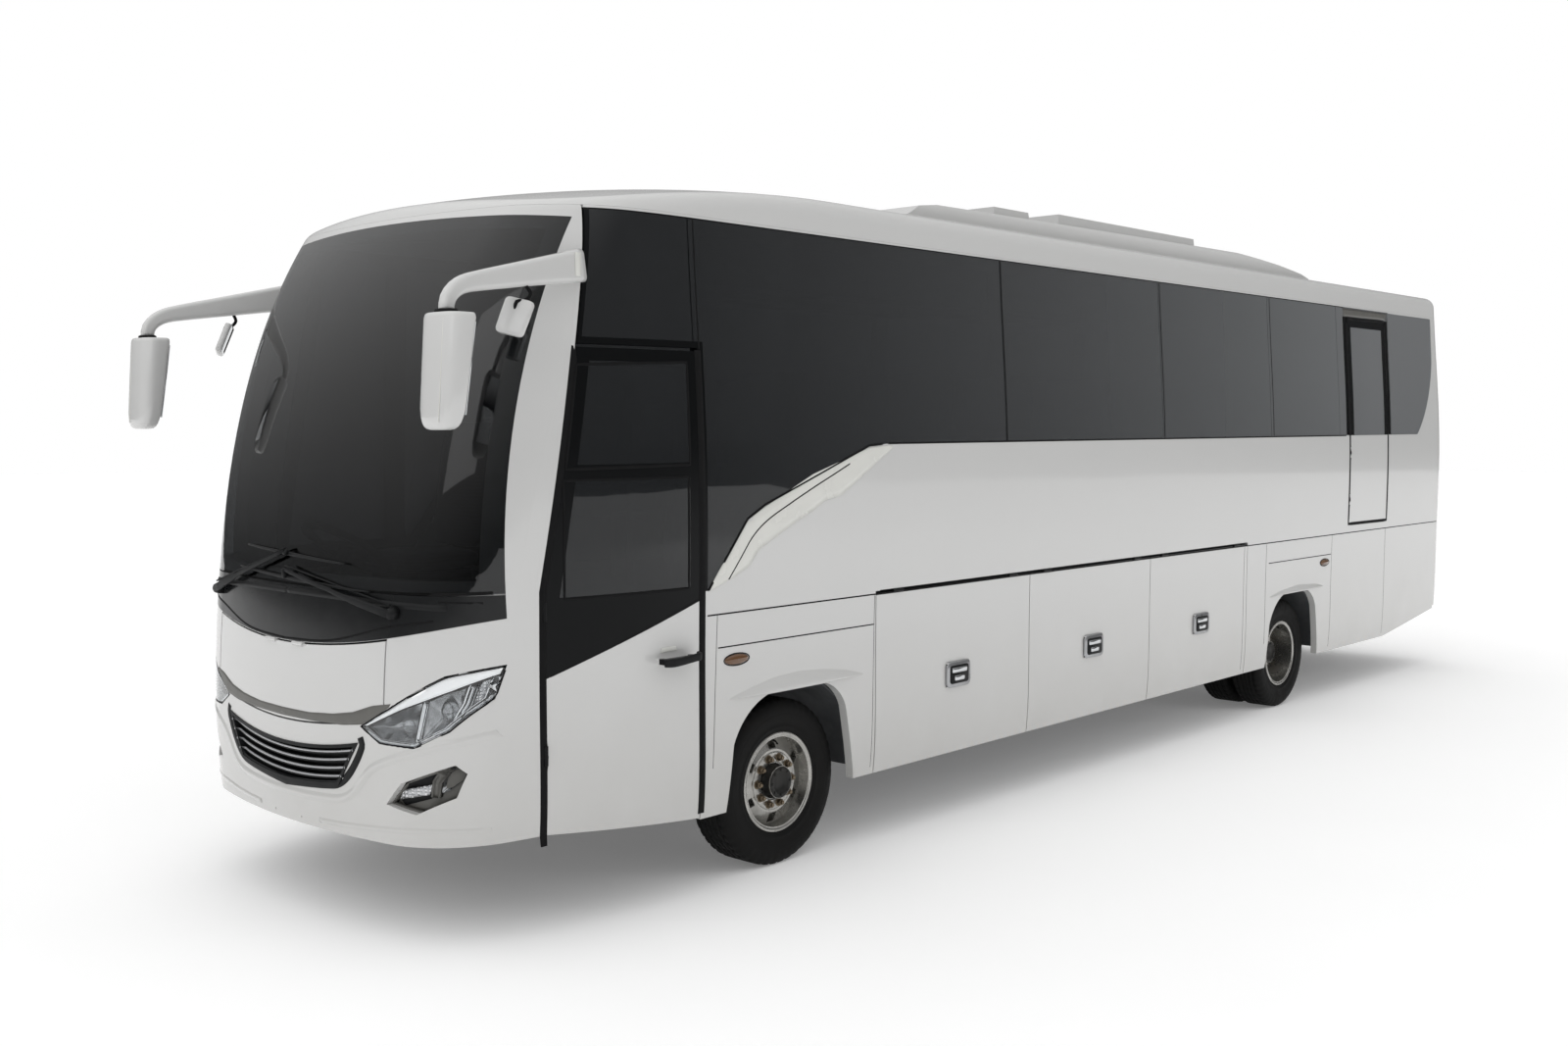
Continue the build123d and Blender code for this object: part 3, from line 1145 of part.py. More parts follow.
def rear_axle():
    """Straight tube with the final drive in the middle and a spindle stub at each end."""
    reach = WHEEL_X - TWIN_SPACING - RIM_WIDTH / 2 - FLAP_GAP
    axle = rod((-reach, WHEELBASE, AXLE_Z), (reach, WHEELBASE, AXLE_Z), AXLE_TUBE_R)
    stub = WHEEL_X - TWIN_SPACING / 2 - RIM_WIDTH * 0.75
    axle = axle + rod((-stub, WHEELBASE, AXLE_Z), (stub, WHEELBASE, AXLE_Z), SPINDLE_R)
    drive = [(-DIFF_HALF, 0.0), (-DIFF_HALF, DIFF_R * 0.6), (-DIFF_HALF * 0.4, DIFF_R),
             (DIFF_HALF * 0.4, DIFF_R), (DIFF_HALF, DIFF_R * 0.6), (DIFF_HALF, 0.0)]
    axle = axle + turned(drive, (0, WHEELBASE, AXLE_Z))
    nose_y = WHEELBASE - DIFF_R - OVERRUN
    return axle + rod((0, nose_y, AXLE_Z), (0, WHEELBASE, AXLE_Z), SHAFT_R * 2)


def prop_shaft():
    start_z = GEARBOX_Z[0] + SHAFT_R + FIT
    end_y = WHEELBASE - DIFF_R - OVERRUN
    slope = (start_z - AXLE_Z) / (end_y - GEARBOX_REAR_Y)
    clear = FIT + SHAFT_R * slope
    return rod((0, GEARBOX_REAR_Y + clear, start_z), (0, end_y - clear, AXLE_Z), SHAFT_R)


def chassis_frame():
    """Two long rails tied by cross members."""
    pieces = []
    for side in (-1, 1):
        outer = sorted((side * (RAIL_X - RAIL_WIDTH / 2), side * (RAIL_X + RAIL_WIDTH / 2)))
        pieces.append(block(outer, (RAIL_FRONT_Y, RAIL_REAR_Y), RAIL_Z))
    inner = RAIL_X - RAIL_WIDTH / 2
    for cross_y in CROSS_Y:
        pieces.append(block((-inner, inner), (cross_y - CROSS_WIDTH / 2, cross_y + CROSS_WIDTH / 2),
                            (RAIL_Z[1] - CROSS_DEPTH, RAIL_Z[1])))
    for post_y in CROSS_Y[1:]:
        for side in (-1, 1):
            wide = sorted((side * inner, side * (RAIL_X + RAIL_WIDTH / 2)))
            pieces.append(block(wide, (post_y - CROSS_WIDTH / 2, post_y + CROSS_WIDTH / 2),
                                (RAIL_Z[1] - FIT, FLOOR_TOP_Z - FLOOR_THICK - FIT)))
    frame = joined(pieces)
    root_y = RAIL_REAR_Y - CROSS_WIDTH
    tow = block((-TOW_HALF, TOW_HALF), (root_y, TOW_BORE_Y + TOW_HALF), TOW_Z)
    post = block((-TOW_HALF, TOW_HALF), (root_y, RAIL_REAR_Y), (TOW_Z[0], RAIL_Z[1]))
    frame = frame + tow + post
    return frame - rod((0, TOW_BORE_Y, TOW_Z[0] - OVERRUN), (0, TOW_BORE_Y, TOW_Z[1] + OVERRUN), TOW_BORE_R)


CROSS_Y = (-1455.0, 1300.0, 2700.0, 4100.0, 5750.0, 7100.0, 7995.0)
TOW_HALF = 70.0
TOW_BORE_Y = 8250.0
TOW_Z = (425.0, 485.0)
TOW_BORE_R = 21.0


def engine():
    """Engine and gearbox as plain blocks between the front rails, on pads over them."""
    half = RAIL_X - RAIL_WIDTH / 2 - FLAP_GAP
    block_ = block((-ENGINE_HALF_WIDTH, ENGINE_HALF_WIDTH), ENGINE_Y, ENGINE_Z)
    box = block((-GEARBOX_HALF_WIDTH, GEARBOX_HALF_WIDTH), (ENGINE_Y[1], GEARBOX_REAR_Y), GEARBOX_Z)
    pad = block((-RAIL_X, RAIL_X), ((ENGINE_Y[0] + ENGINE_Y[1]) / 2 - MOUNT_PAD,
                                    (ENGINE_Y[0] + ENGINE_Y[1]) / 2 + MOUNT_PAD),
                (RAIL_Z[1] + FIT, RAIL_Z[1] + MOUNT_PAD))
    return block_ + box + pad


def floor():
    """Flat saloon deck from the cab step to the tail."""
    deck = block((-HALF_WIDTH, HALF_WIDTH), (DECK_FRONT_Y, TAIL_Y), (FLOOR_TOP_Z - FLOOR_THICK, FLOOR_TOP_Z))
    return deck & INNER_FIT


def cab_floor():
    """Driver's platform beside the engine cover, with a riser up to the deck."""
    inner_x = -HUMP_HALF_WIDTH - HUMP_SHEET - FIT
    plate = block((-HALF_WIDTH, inner_x), (CAB_FLOOR_FRONT_Y, DECK_FRONT_Y + HUMP_SHEET),
                  (CAB_FLOOR_Z - HUMP_SHEET, CAB_FLOOR_Z))
    riser = block((-HALF_WIDTH, inner_x), (DECK_FRONT_Y, DECK_FRONT_Y + HUMP_SHEET),
                  (CAB_FLOOR_Z + FIT, FLOOR_TOP_Z - FLOOR_THICK - FIT))
    return [plate & INNER_FIT, riser & INNER_FIT]


def engine_cover():
    """Sheet hump over the engine, open at the front and below."""
    low = CAB_FLOOR_Z - HUMP_SHEET
    hump = block((-HUMP_HALF_WIDTH - HUMP_SHEET, HUMP_HALF_WIDTH + HUMP_SHEET),
                 (CAB_FLOOR_FRONT_Y, DECK_FRONT_Y + HUMP_SHEET), (low, HUMP_TOP_Z))
    hollow = block((-HUMP_HALF_WIDTH, HUMP_HALF_WIDTH), (CAB_FLOOR_FRONT_Y - OVERRUN, DECK_FRONT_Y),
                   (low - OVERRUN, HUMP_TOP_Z - HUMP_SHEET))
    return (hump - hollow) & INNER_FIT


def entrance_steps():
    """Folded step plates rising from the door to the deck level, with a back riser."""
    rise = (FLOOR_TOP_Z - FLOOR_THICK - STEP_LOW_Z) / STEP_COUNT
    front = CAB_FLOOR_FRONT_Y + STEP_DEPTH
    rear = DOOR_REAR_Y + STEP_SHEET
    pieces = []
    for n in range(STEP_COUNT):
        outer_x = STEP_OUTER_X - n * (STEP_OUTER_X - HUMP_HALF_WIDTH - HUMP_SHEET) / STEP_COUNT
        inner_x = STEP_OUTER_X - (n + 1) * (STEP_OUTER_X - HUMP_HALF_WIDTH - HUMP_SHEET) / STEP_COUNT
        tread_z = STEP_LOW_Z + n * rise
        pieces.append(block((inner_x + FIT, outer_x), (front, rear), (tread_z - STEP_SHEET, tread_z)))
        pieces.append(block((inner_x + FIT, inner_x + STEP_SHEET), (front, rear), (tread_z - STEP_SHEET, tread_z + rise)))
    last_x = SPRING_X + SPRING_WIDTH / 2 + FLAP_GAP
    well = block((last_x, STEP_OUTER_X), (rear - STEP_SHEET, rear), (STEP_LOW_Z - STEP_SHEET, FLOOR_TOP_Z - FLOOR_THICK - FIT))
    return joined(pieces + [well])


def dashboard():
    """Instrument panel across the cab with the steering column and wheel."""
    outline_ = [(DASH_FRONT_Y, DASH_BOTTOM_Z), (DASH_FRONT_Y, DASH_TOP_Z - WALL), (DASH_REAR_Y - STEP_DEPTH, DASH_TOP_Z),
                (DASH_REAR_Y, DASH_TOP_Z - WALL * 3), (DASH_REAR_Y - WALL * 2, DASH_BOTTOM_Z)]
    dash = prism("x", outline_, (-HALF_WIDTH, DASH_LEFT_X)) & INNER_FIT
    centre = (DRIVER_X, DASH_REAR_Y + WHEEL_RIM_R / 2, DASH_TOP_Z + WALL * 2)
    tilt = Pos(*centre) * Rot(-WHEEL_TILT, 0, 0)
    rim = Cylinder(WHEEL_RIM_R, WHEEL_RIM_TUBE * 2) - Cylinder(WHEEL_RIM_R - WHEEL_RIM_TUBE * 2, OVERRUN)
    spokes = Box(WHEEL_RIM_R * 2 - WHEEL_RIM_TUBE * 2, WHEEL_RIM_TUBE * 4, WHEEL_RIM_TUBE)
    column = Pos(0, 0, -WHEEL_RIM_R) * Cylinder(WHEEL_RIM_TUBE * 2, WHEEL_RIM_R * 2)
    return dash + tilt * (rim + spokes + column)


def seat(front, across):
    """A seat or bench in side profile, its foot on the deck."""
    outline_ = [(front + along * SEAT_DEPTH, FLOOR_TOP_Z + FIT + up * SEAT_HEIGHT) for along, up in SEAT_SHARES]
    return prism("x", outline_, across)


def passenger_seats():
    seats = []
    for row in range(RIGHT_ROWS):
        front = SEAT_FIRST_Y + row * SEAT_PITCH
        seats.append(seat(front, (-SEAT_OUTER_X, -SEAT_INNER_X)))
        if row < LEFT_ROWS:
            seats.append(seat(front, (SEAT_INNER_X, SEAT_OUTER_X)))
    seats.append(seat(BENCH_Y, (-SEAT_OUTER_X, SEAT_OUTER_X)))
    return seats


def driver_seat():
    half = DRIVER_SEAT_WIDTH / 2
    outline_ = [(DRIVER_SEAT_FRONT_Y + along * SEAT_DEPTH * 0.95, CAB_FLOOR_Z + FIT + up * SEAT_HEIGHT)
                for along, up in SEAT_SHARES]
    return prism("x", outline_, (DRIVER_X - half, DRIVER_X + half))


def wheel_liner(axle_y, inner_x):
    """Half-round sheet over a wheel, from the side wall in to the frame."""
    outer_r = ARCH_REAR + WALL + LINER_SHEET
    low = SKIRT_Z + WALL
    outer_x = HALF_WIDTH
    ring = rod((inner_x, axle_y, AXLE_Z), (outer_x, axle_y, AXLE_Z), outer_r)
    ring = ring - rod((inner_x - OVERRUN, axle_y, AXLE_Z), (outer_x + OVERRUN, axle_y, AXLE_Z), outer_r - LINER_SHEET)
    keep = block((0, HALF_WIDTH), (axle_y - outer_r - OVERRUN, axle_y + outer_r + OVERRUN), (low, FLOOR_TOP_Z))
    return ring & keep & INNER_FIT


def fuel_tank():
    tank = block((-TANK_X[1], -TANK_X[0]), TANK_Y, TANK_Z)
    return fillet(tank.edges().filter_by(Axis.Y), TANK_CORNER)


def silencer():
    drum = rod((SILENCER_X, SILENCER_Y[0], SILENCER_Z), (SILENCER_X, SILENCER_Y[1], SILENCER_Z), SILENCER_R)
    pipe_z = SILENCER_Z - SILENCER_R * 0.6
    return drum + rod((SILENCER_X, SILENCER_Y[1], pipe_z), (SILENCER_X, TAILPIPE_END_Y, pipe_z), TAILPIPE_R)


INNER_FIT = hull(WALL + GLASS_REST)


def store(name, pieces):
    NODES[name] = pieces if isinstance(pieces, list) else [pieces]


def model():
    """Every piece of the coach under its own name."""
    store("front_panel", front_panel())
    store("roof", roof())
    store("side_wall_left", side_wall(True))
    store("side_wall_right", mirrored(side_wall(False)))
    store("rear_wall", rear_wall())
    store("side_glass_left", side_glass(True))
    store("side_glass_right", [mirrored(pane) for pane in side_glass(False)])
    store("windscreen", windscreen())
    store("cowl_band", cowl_band())
    store("bonnet_flap", bonnet_flap())
    store("grille", grille())
    lamp = front_lamp(HEADLAMP, LAMP_SET)
    store("headlamps", [lamp, mirrored(lamp)])
    fog = front_lamp(FOG_LAMP, FOG_SET)
    store("fog_lamps", [fog, mirrored(fog)])
    store("rear_window", rear_glass())
    store("boot_lid", boot_lid())
    store("tail_lamps", [tail_lamp(), mirrored(tail_lamp())])
    store("rear_bumper", rear_bumper())
    store("roof_air_unit", roof_air_unit())
    store("mirror_left", mirror_arm())
    store("mirror_right", mirrored(mirror_arm()))
    store("wipers", wipers())
    store("entrance_door", entrance_door())
    store("entrance_door_glass", door_glass())
    store("exit_door", exit_door())
    store("exit_door_glass", exit_glass())
    for number, (front, rear) in enumerate(zip(FLAP_Y, FLAP_Y[1:]), start=1):
        flap = luggage_flap(front, rear)
        store(f"luggage_flap_left_{number}", flap)
        store(f"luggage_flap_right_{number}", mirrored(flap))
    store("luggage_bays", [luggage_bay(), mirrored(luggage_bay())])
    liners = [wheel_liner(y, x) for y, x in zip((0.0, WHEELBASE), LINER_INNER_X)]
    store("wheel_liners", liners + [mirrored(liner) for liner in liners])
    store("floor", floor())
    store("cab_floor", cab_floor())
    store("engine_cover", engine_cover())
    store("entrance_steps", entrance_steps())
    store("dashboard", dashboard())
    store("passenger_seats", passenger_seats())
    store("driver_seat", driver_seat())
    store("chassis_frame", chassis_frame())
    store("engine", engine())
    store("prop_shaft", prop_shaft())
    store("front_axle", front_beam())
    store("rear_axle", rear_axle())
    springs = [leaf_spring(0.0, AXLE_Z - BEAM_DROP + BEAM_DEPTH / 2 + FIT),
               leaf_spring(WHEELBASE, AXLE_Z + AXLE_TUBE_R + FIT)]
    store("leaf_springs", springs + [mirrored(s) for s in springs])
    store("fuel_tank", fuel_tank())
    store("silencer", silencer())
    store("knuckle_left", knuckle())
    store("knuckle_right", mirrored(knuckle()))
    store("tie_rod", tie_rod())
    front_tyre = Pos(WHEEL_X, 0, AXLE_Z) * turned(tyre(False), (0, 0, 0))
    front_wheel = Pos(WHEEL_X, 0, AXLE_Z) * front_rim()
    outer = Pos(WHEEL_X, WHEELBASE, AXLE_Z) * turned(tyre(False), (0, 0, 0))
    inner = Pos(WHEEL_X - TWIN_SPACING, WHEELBASE, AXLE_Z) * turned(tyre(True), (0, 0, 0))
    rear_wheel = Pos(WHEEL_X, WHEELBASE, AXLE_Z) * rear_rim()
    for side, place in (("left", lambda s: s), ("right", mirrored)):
        store(f"tyre_front_{side}", place(front_tyre))
        store(f"wheel_front_{side}", place(front_wheel))
        store(f"tyres_rear_{side}", [place(outer), place(inner)])
        store(f"wheel_rear_{side}", place(rear_wheel))


def origin_y():
    """Middle of the overall length: mirror heads in front, rear bumper behind."""
    front = MIRROR_HEAD_Y - MIRROR_HEAD_DEPTH / 2
    return (front + TAIL_Y + BUMPER_PROUD) / 2


def export_nodes():
    os.makedirs("parts", exist_ok=True)
    shift = Pos(0, -origin_y(), 0)
    print("origin behind the front axle:", origin_y())
    print("entrance door axis:", door_axis(), "bonnet axis:", bonnet_axis())
    for name, pieces in NODES.items():
        solids = [shift * solid for piece in pieces for solid in piece.solids()]
        shape = solids[0] if len(solids) == 1 else Compound(children=solids)
        export_step(shape, f"parts/{name}.step")


model()
export_nodes()
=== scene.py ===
import bmesh
import bpy
import math
import numpy as np
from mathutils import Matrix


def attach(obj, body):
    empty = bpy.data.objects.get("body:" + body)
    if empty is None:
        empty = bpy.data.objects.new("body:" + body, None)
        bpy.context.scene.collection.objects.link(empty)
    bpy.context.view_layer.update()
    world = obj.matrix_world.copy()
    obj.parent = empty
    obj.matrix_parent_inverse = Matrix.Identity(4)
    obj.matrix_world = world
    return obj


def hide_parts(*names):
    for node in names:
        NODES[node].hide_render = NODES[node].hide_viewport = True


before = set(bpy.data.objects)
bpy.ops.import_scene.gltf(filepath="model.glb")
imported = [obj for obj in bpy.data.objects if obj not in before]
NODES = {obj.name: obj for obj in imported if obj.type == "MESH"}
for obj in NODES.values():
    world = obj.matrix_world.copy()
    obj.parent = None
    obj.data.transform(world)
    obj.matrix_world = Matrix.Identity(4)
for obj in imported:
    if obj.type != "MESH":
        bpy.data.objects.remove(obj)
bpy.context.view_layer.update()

# Shapes are worked out in millimetres, with y measured from the front axle, and moved to the
# coach's own origin when they become a mesh.
ORIGIN_Y = 3188.75
MM = 0.001
BODY = "coach"


# Colour and material helpers

def linear(hex_colour):
    """sRGB hex to a linear RGBA colour."""
    parts = np.array([int(hex_colour[i:i + 2], 16) for i in (1, 3, 5)]) / 255.0
    value = np.where(parts <= 0.04045, parts / 12.92, ((parts + 0.055) / 1.055) ** 2.4)
    return (*value.tolist(), 1.0)


def add(tree, kind, settings=None, inputs=None):
    """Adds one node. Settings are its own properties; inputs are values, or sockets to link."""
    item = tree.nodes.new(kind)
    for key, value in (settings or {}).items():
        setattr(item, key, value)
    for key, value in (inputs or {}).items():
        if isinstance(value, bpy.types.NodeSocket):
            tree.links.new(value, item.inputs[key])
        else:
            item.inputs[key].default_value = value
    return item


def material(name, build, **shader):
    """A material with one Principled shader. build(tree, place) returns sockets to link to it;
    place is the Object coordinate."""
    mat = bpy.data.materials.new(name)
    mat.use_nodes = True
    tree = mat.node_tree
    tree.nodes.clear()
    place = add(tree, "ShaderNodeTexCoord").outputs["Object"]
    surface = add(tree, "ShaderNodeBsdfPrincipled", inputs={**shader, **build(tree, place)})
    add(tree, "ShaderNodeOutputMaterial", inputs={"Surface": surface.outputs[0]})
    return mat


def speckle(tree, place, size_mm, detail=3.0, rough=0.5):
    """Noise whose blobs are about size_mm across."""
    return add(tree, "ShaderNodeTexNoise", inputs={
        "Vector": place, "Scale": 1000.0 / size_mm, "Detail": detail, "Roughness": rough}).outputs["Fac"]


def between(tree, factor, low, high):
    """Two colours mixed by a factor."""
    return add(tree, "ShaderNodeMix", {"data_type": "RGBA"}, {0: factor, 6: low, 7: high}).outputs[2]


def ramp(tree, factor, low, high, start=0.0, end=1.0):
    """A factor stretched from start..end to low..high."""
    return add(tree, "ShaderNodeMapRange", inputs={
        "Value": factor, "From Min": start, "From Max": end, "To Min": low, "To Max": high}).outputs[0]


def bumps(tree, height, strength, depth_mm):
    """A normal that follows a height, at most depth_mm deep."""
    return add(tree, "ShaderNodeBump", inputs={
        "Height": height, "Strength": strength, "Distance": depth_mm * MM}).outputs["Normal"]


def math_node(tree, operation, first, second):
    """One sum on two values or sockets."""
    return add(tree, "ShaderNodeMath", {"operation": operation}, {0: first, 1: second}).outputs[0]


def above(tree, value, limit):
    """Where the value is over the limit."""
    return math_node(tree, "GREATER_THAN", value, limit)


def every(tree, *masks):
    """Where all of the masks hold."""
    result = masks[0]
    for mask in masks[1:]:
        result = math_node(tree, "MULTIPLY", result, mask)
    return result


def axes(tree, place):
    """The x, y and z of a place, as sockets."""
    return add(tree, "ShaderNodeSeparateXYZ", inputs={0: place}).outputs


# Mesh helpers


def mesh_piece(name, points, faces, finish, body=BODY, slot=None, shade=True):
    """A mesh from points in millimetres and a list of faces, riding on a body."""
    points = np.asarray(points, float).reshape(-1, 3) - [0, ORIGIN_Y, 0]
    mesh = bpy.data.meshes.new(name)
    mesh.from_pydata((points * MM).tolist(), [], [list(map(int, f)) for f in faces])
    work = bmesh.new()
    work.from_mesh(mesh)
    bmesh.ops.remove_doubles(work, verts=work.verts, dist=1e-6)
    work.to_mesh(mesh)
    work.free()
    mesh.update()
    obj = bpy.data.objects.new(name, mesh)
    bpy.context.scene.collection.objects.link(obj)
    mesh.materials.append(finish)
    mesh.polygons.foreach_set("use_smooth", np.full(len(mesh.polygons), shade))
    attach(obj, body)
    return obj


def grid_faces(rows, columns, close_rows=False, close_columns=False, start=0):
    """Quads of a grid of points, wrapped round either way."""
    r = np.arange(rows if close_rows else rows - 1)
    c = np.arange(columns if close_columns else columns - 1)
    rr, cc = np.meshgrid(r, c, indexing="ij")
    r2 = (rr + 1) % rows
    c2 = (cc + 1) % columns
    quads = np.stack([rr * columns + cc, r2 * columns + cc, r2 * columns + c2, rr * columns + c2], -1)
    return (quads.reshape(-1, 4) + start).tolist()


def bar_faces(rows, columns):
    """A closed bar: a profile of that many columns carried along rows, capped at both ends."""
    last = [(rows - 1) * columns + i for i in range(columns)][::-1]
    return grid_faces(rows, columns, close_columns=True) + [list(range(columns)), last]


def outward(points, faces):
    """Turns every face round if the closed shape's volume comes out negative."""
    p = np.asarray(points, float).reshape(-1, 3)
    volume = 0.0
    for f in faces:
        a = p[f[0]]
        for i in range(1, len(f) - 1):
            volume += np.dot(a, np.cross(p[f[i]], p[f[i + 1]]))
    return [list(f)[::-1] for f in faces] if volume < 0 else faces


def unite(parts):
    """Joins several (points, faces) into one."""
    points = []
    faces = []
    count = 0
    for p, f in parts:
        p = np.asarray(p, float).reshape(-1, 3)
        points.append(p)
        faces += [[i + count for i in face] for face in f]
        count += len(p)
    return np.concatenate(points), faces


def mirrored(part, side=-1):
    """A part of the coach's left as it stands on that side: 1 left, -1 right."""
    points = np.asarray(part[0], float).reshape(-1, 3) * [side, 1, 1]
    return points, part[1] if side > 0 else [list(f)[::-1] for f in part[1]]


def both_sides(part):
    """A part and its mirror image on the coach's right."""
    return unite([part, mirrored(part)])


def pair(name, part, finish, **more):
    """The same piece on both sides of the coach, as one mesh."""
    return mesh_piece(name, *both_sides(part), finish, **more)


def resample(path, step):
    """Points along a polyline at about equal steps, its corners kept."""
    path = np.asarray(path, float)
    out = [path[:1]]
    for a, b in zip(path, path[1:]):
        n = max(1, int(round(np.linalg.norm(b - a) / step)))
        out.append(a + (b - a) * (np.arange(1, n + 1) / n)[:, None])
    return np.concatenate(out)


def resample_to(path, count):
    """A polyline's points at even steps along it."""
    path = np.asarray(path, float)
    length = np.concatenate([[0], np.cumsum(np.linalg.norm(np.diff(path, axis=0), axis=1))])
    at = np.linspace(0, length[-1], count)
    return np.stack([np.interp(at, length, path[:, k]) for k in range(path.shape[1])], -1)


def edges_of(low, high, count=28):
    """Two edges resampled to the same number of points."""
    return resample_to(low, count), resample_to(high, count)


def curve_through(points, count):
    """Catmull-Rom curve through the points, by arc length."""
    p = np.asarray(points, float)
    p = np.concatenate([2 * p[:1] - p[1:2], p, 2 * p[-1:] - p[-2:-1]])
    t = np.linspace(0, 1, 24, endpoint=False)[:, None]
    spans = [0.5 * ((2 * b) + (c - a) * t + (2 * a - 5 * b + 4 * c - d) * t ** 2
                    + (3 * b - a - 3 * c + d) * t ** 3)
             for a, b, c, d in zip(p, p[1:], p[2:], p[3:])]
    return resample_to(np.concatenate(spans + [p[-2:-1]]), count)


def unit(vectors):
    """Rows scaled to length one."""
    return vectors / np.linalg.norm(vectors, axis=1)[:, None]


def carried(path, profile, up=(0, 0, 1)):
    """A profile (across, up) in millimetres carried along a path of points: at each point the
    section stands square to the path. A profile for each point may be given instead."""
    path = np.asarray(path, float)
    profile = np.asarray(profile, float)
    tangent = unit(np.gradient(path, axis=0))
    side = unit(np.cross(tangent, np.asarray(up, float)))
    top = np.cross(side, tangent)
    if profile.ndim == 2:
        profile = np.repeat(profile[None], len(path), 0)
    points = path[:, None] + side[:, None] * profile[:, :, :1] + top[:, None] * profile[:, :, 1:]
    points = points.reshape(-1, 3)
    return points, outward(points, bar_faces(*profile.shape[:2]))


def ring(radius, count=16):
    """A round profile."""
    angle = np.linspace(0, 2 * math.pi, count, endpoint=False)
    return np.stack([np.cos(angle), np.sin(angle)], -1) * radius


def rounded(width, height, radius, count=5):
    """A rectangle with rounded corners, as a closed profile."""
    x, y = width / 2 - radius, height / 2 - radius
    corners = []
    for cx, cy, start in ((x, y, 0), (-x, y, 90), (-x, -y, 180), (x, -y, 270)):
        a = np.radians(start + np.linspace(0, 90, count))
        corners.append(np.stack([cx + np.cos(a) * radius, cy + np.sin(a) * radius], -1))
    return np.concatenate(corners)


def turned(profile, centre, count=64, axis=0, closed=False):
    """A profile (along, radius) turned about the x axis, or the y axis, through centre."""
    profile = np.asarray(profile, float)
    angle = np.linspace(0, 2 * math.pi, count, endpoint=False)
    along = np.repeat(profile[None, :, 0], count, 0)
    one = np.cos(angle)[:, None] * profile[None, :, 1]
    two = np.sin(angle)[:, None] * profile[None, :, 1]
    order = (two, along, one) if axis else (along, one, two)
    points = np.stack(order, -1).reshape(-1, 3) + np.asarray(centre, float)
    return points, outward(points, grid_faces(count, len(profile), True, closed))


# The coach's skin, read from the CAD panels

def panel_triangles(names):
    """All triangles of those panels, in millimetres from the front axle."""
    found = []
    for name in names:
        mesh = NODES[name].data
        mesh.calc_loop_triangles()
        corners = np.empty(len(mesh.loop_triangles) * 3, np.int32)
        mesh.loop_triangles.foreach_get("vertices", corners)
        place = np.empty(len(mesh.vertices) * 3)
        mesh.vertices.foreach_get("co", place)
        found.append(place.reshape(-1, 3)[corners].reshape(-1, 3, 3) / MM)
    triangles = np.concatenate(found)
    triangles[:, :, 1] += ORIGIN_Y
    return triangles


FLAPS = {side: ["luggage_flap_%s_%d" % (side, n) for n in (1, 2, 3)] for side in ("left", "right")}
SKINS = {
    "left": (0, 1, panel_triangles(["side_wall_left", "side_glass_left", "entrance_door", "exit_door",
                                    "entrance_door_glass", "exit_door_glass", "front_panel", "rear_wall",
                                    "roof"] + FLAPS["left"])),
    "front": (1, -1, panel_triangles(["front_panel", "windscreen", "cowl_band", "bonnet_flap", "headlamps",
                                      "fog_lamps"])),
    "rear": (1, 1, panel_triangles(["rear_wall", "boot_lid", "rear_window", "tail_lamps"])),
    "grille": (1, -1, panel_triangles(["grille"])),
}


def drop(flat, face):
    """How far out the skin lies at flat points: every triangle is tested at once by its area
    shares, and the outermost hit counts. Points over a gap take their neighbours' value."""
    axis, sign, triangles = SKINS[face]
    plane = [k for k in range(3) if k != axis]
    flat = np.asarray(flat, float)
    shape = flat.shape[:-1]
    flat = flat.reshape(-1, 2)
    low = flat.min(0) - 1
    high = flat.max(0) + 1
    t = triangles[:, :, plane]
    near = ((t.max(1) > low) & (t.min(1) < high)).all(1)
    t = t[near]
    heights = triangles[near][:, :, axis] * sign
    a, ab, ac = t[:, 0], t[:, 1] - t[:, 0], t[:, 2] - t[:, 0]
    area = ab[:, 0] * ac[:, 1] - ab[:, 1] * ac[:, 0]
    fine = np.abs(area) > 1e-6
    a, ab, ac, area, heights = a[fine], ab[fine], ac[fine], area[fine], heights[fine]
    best = np.full(len(flat), -np.inf)
    for start in range(0, len(flat), 400):
        ap = flat[start:start + 400, None] - a[None]
        u = (ap[..., 0] * ac[:, 1] - ap[..., 1] * ac[:, 0]) / area
        v = (ab[:, 0] * ap[..., 1] - ab[:, 1] * ap[..., 0]) / area
        inside = (u > -1e-6) & (v > -1e-6) & (u + v < 1 + 1e-6)
        here = heights[:, 0] + u * (heights[:, 1] - heights[:, 0]) + v * (heights[:, 2] - heights[:, 0])
        best[start:start + 400] = np.where(inside, here, -np.inf).max(1)
    index = np.arange(len(flat))
    hit = np.isfinite(best)
    if not hit.all():
        best = np.interp(index, index[hit], best[hit])
    return (best * sign).reshape(shape)


def raised(flat, depth, face):
    """Points of a flat view of that face, set at a depth."""
    if SKINS[face][0] == 0:
        return np.stack([depth, flat[..., 0], flat[..., 1]], -1)
    return np.stack([flat[..., 0], depth, flat[..., 1]], -1)


def on_skin(flat, face, out=0.0):
    """Points on the skin, out millimetres proud of it."""
    flat = np.asarray(flat, float)
    return raised(flat, drop(flat, face) + np.asarray(out) * SKINS[face][1], face)


# Sections wider than this, in millimetres, follow the skin across their width too.
FOLLOWS_SKIN = 14


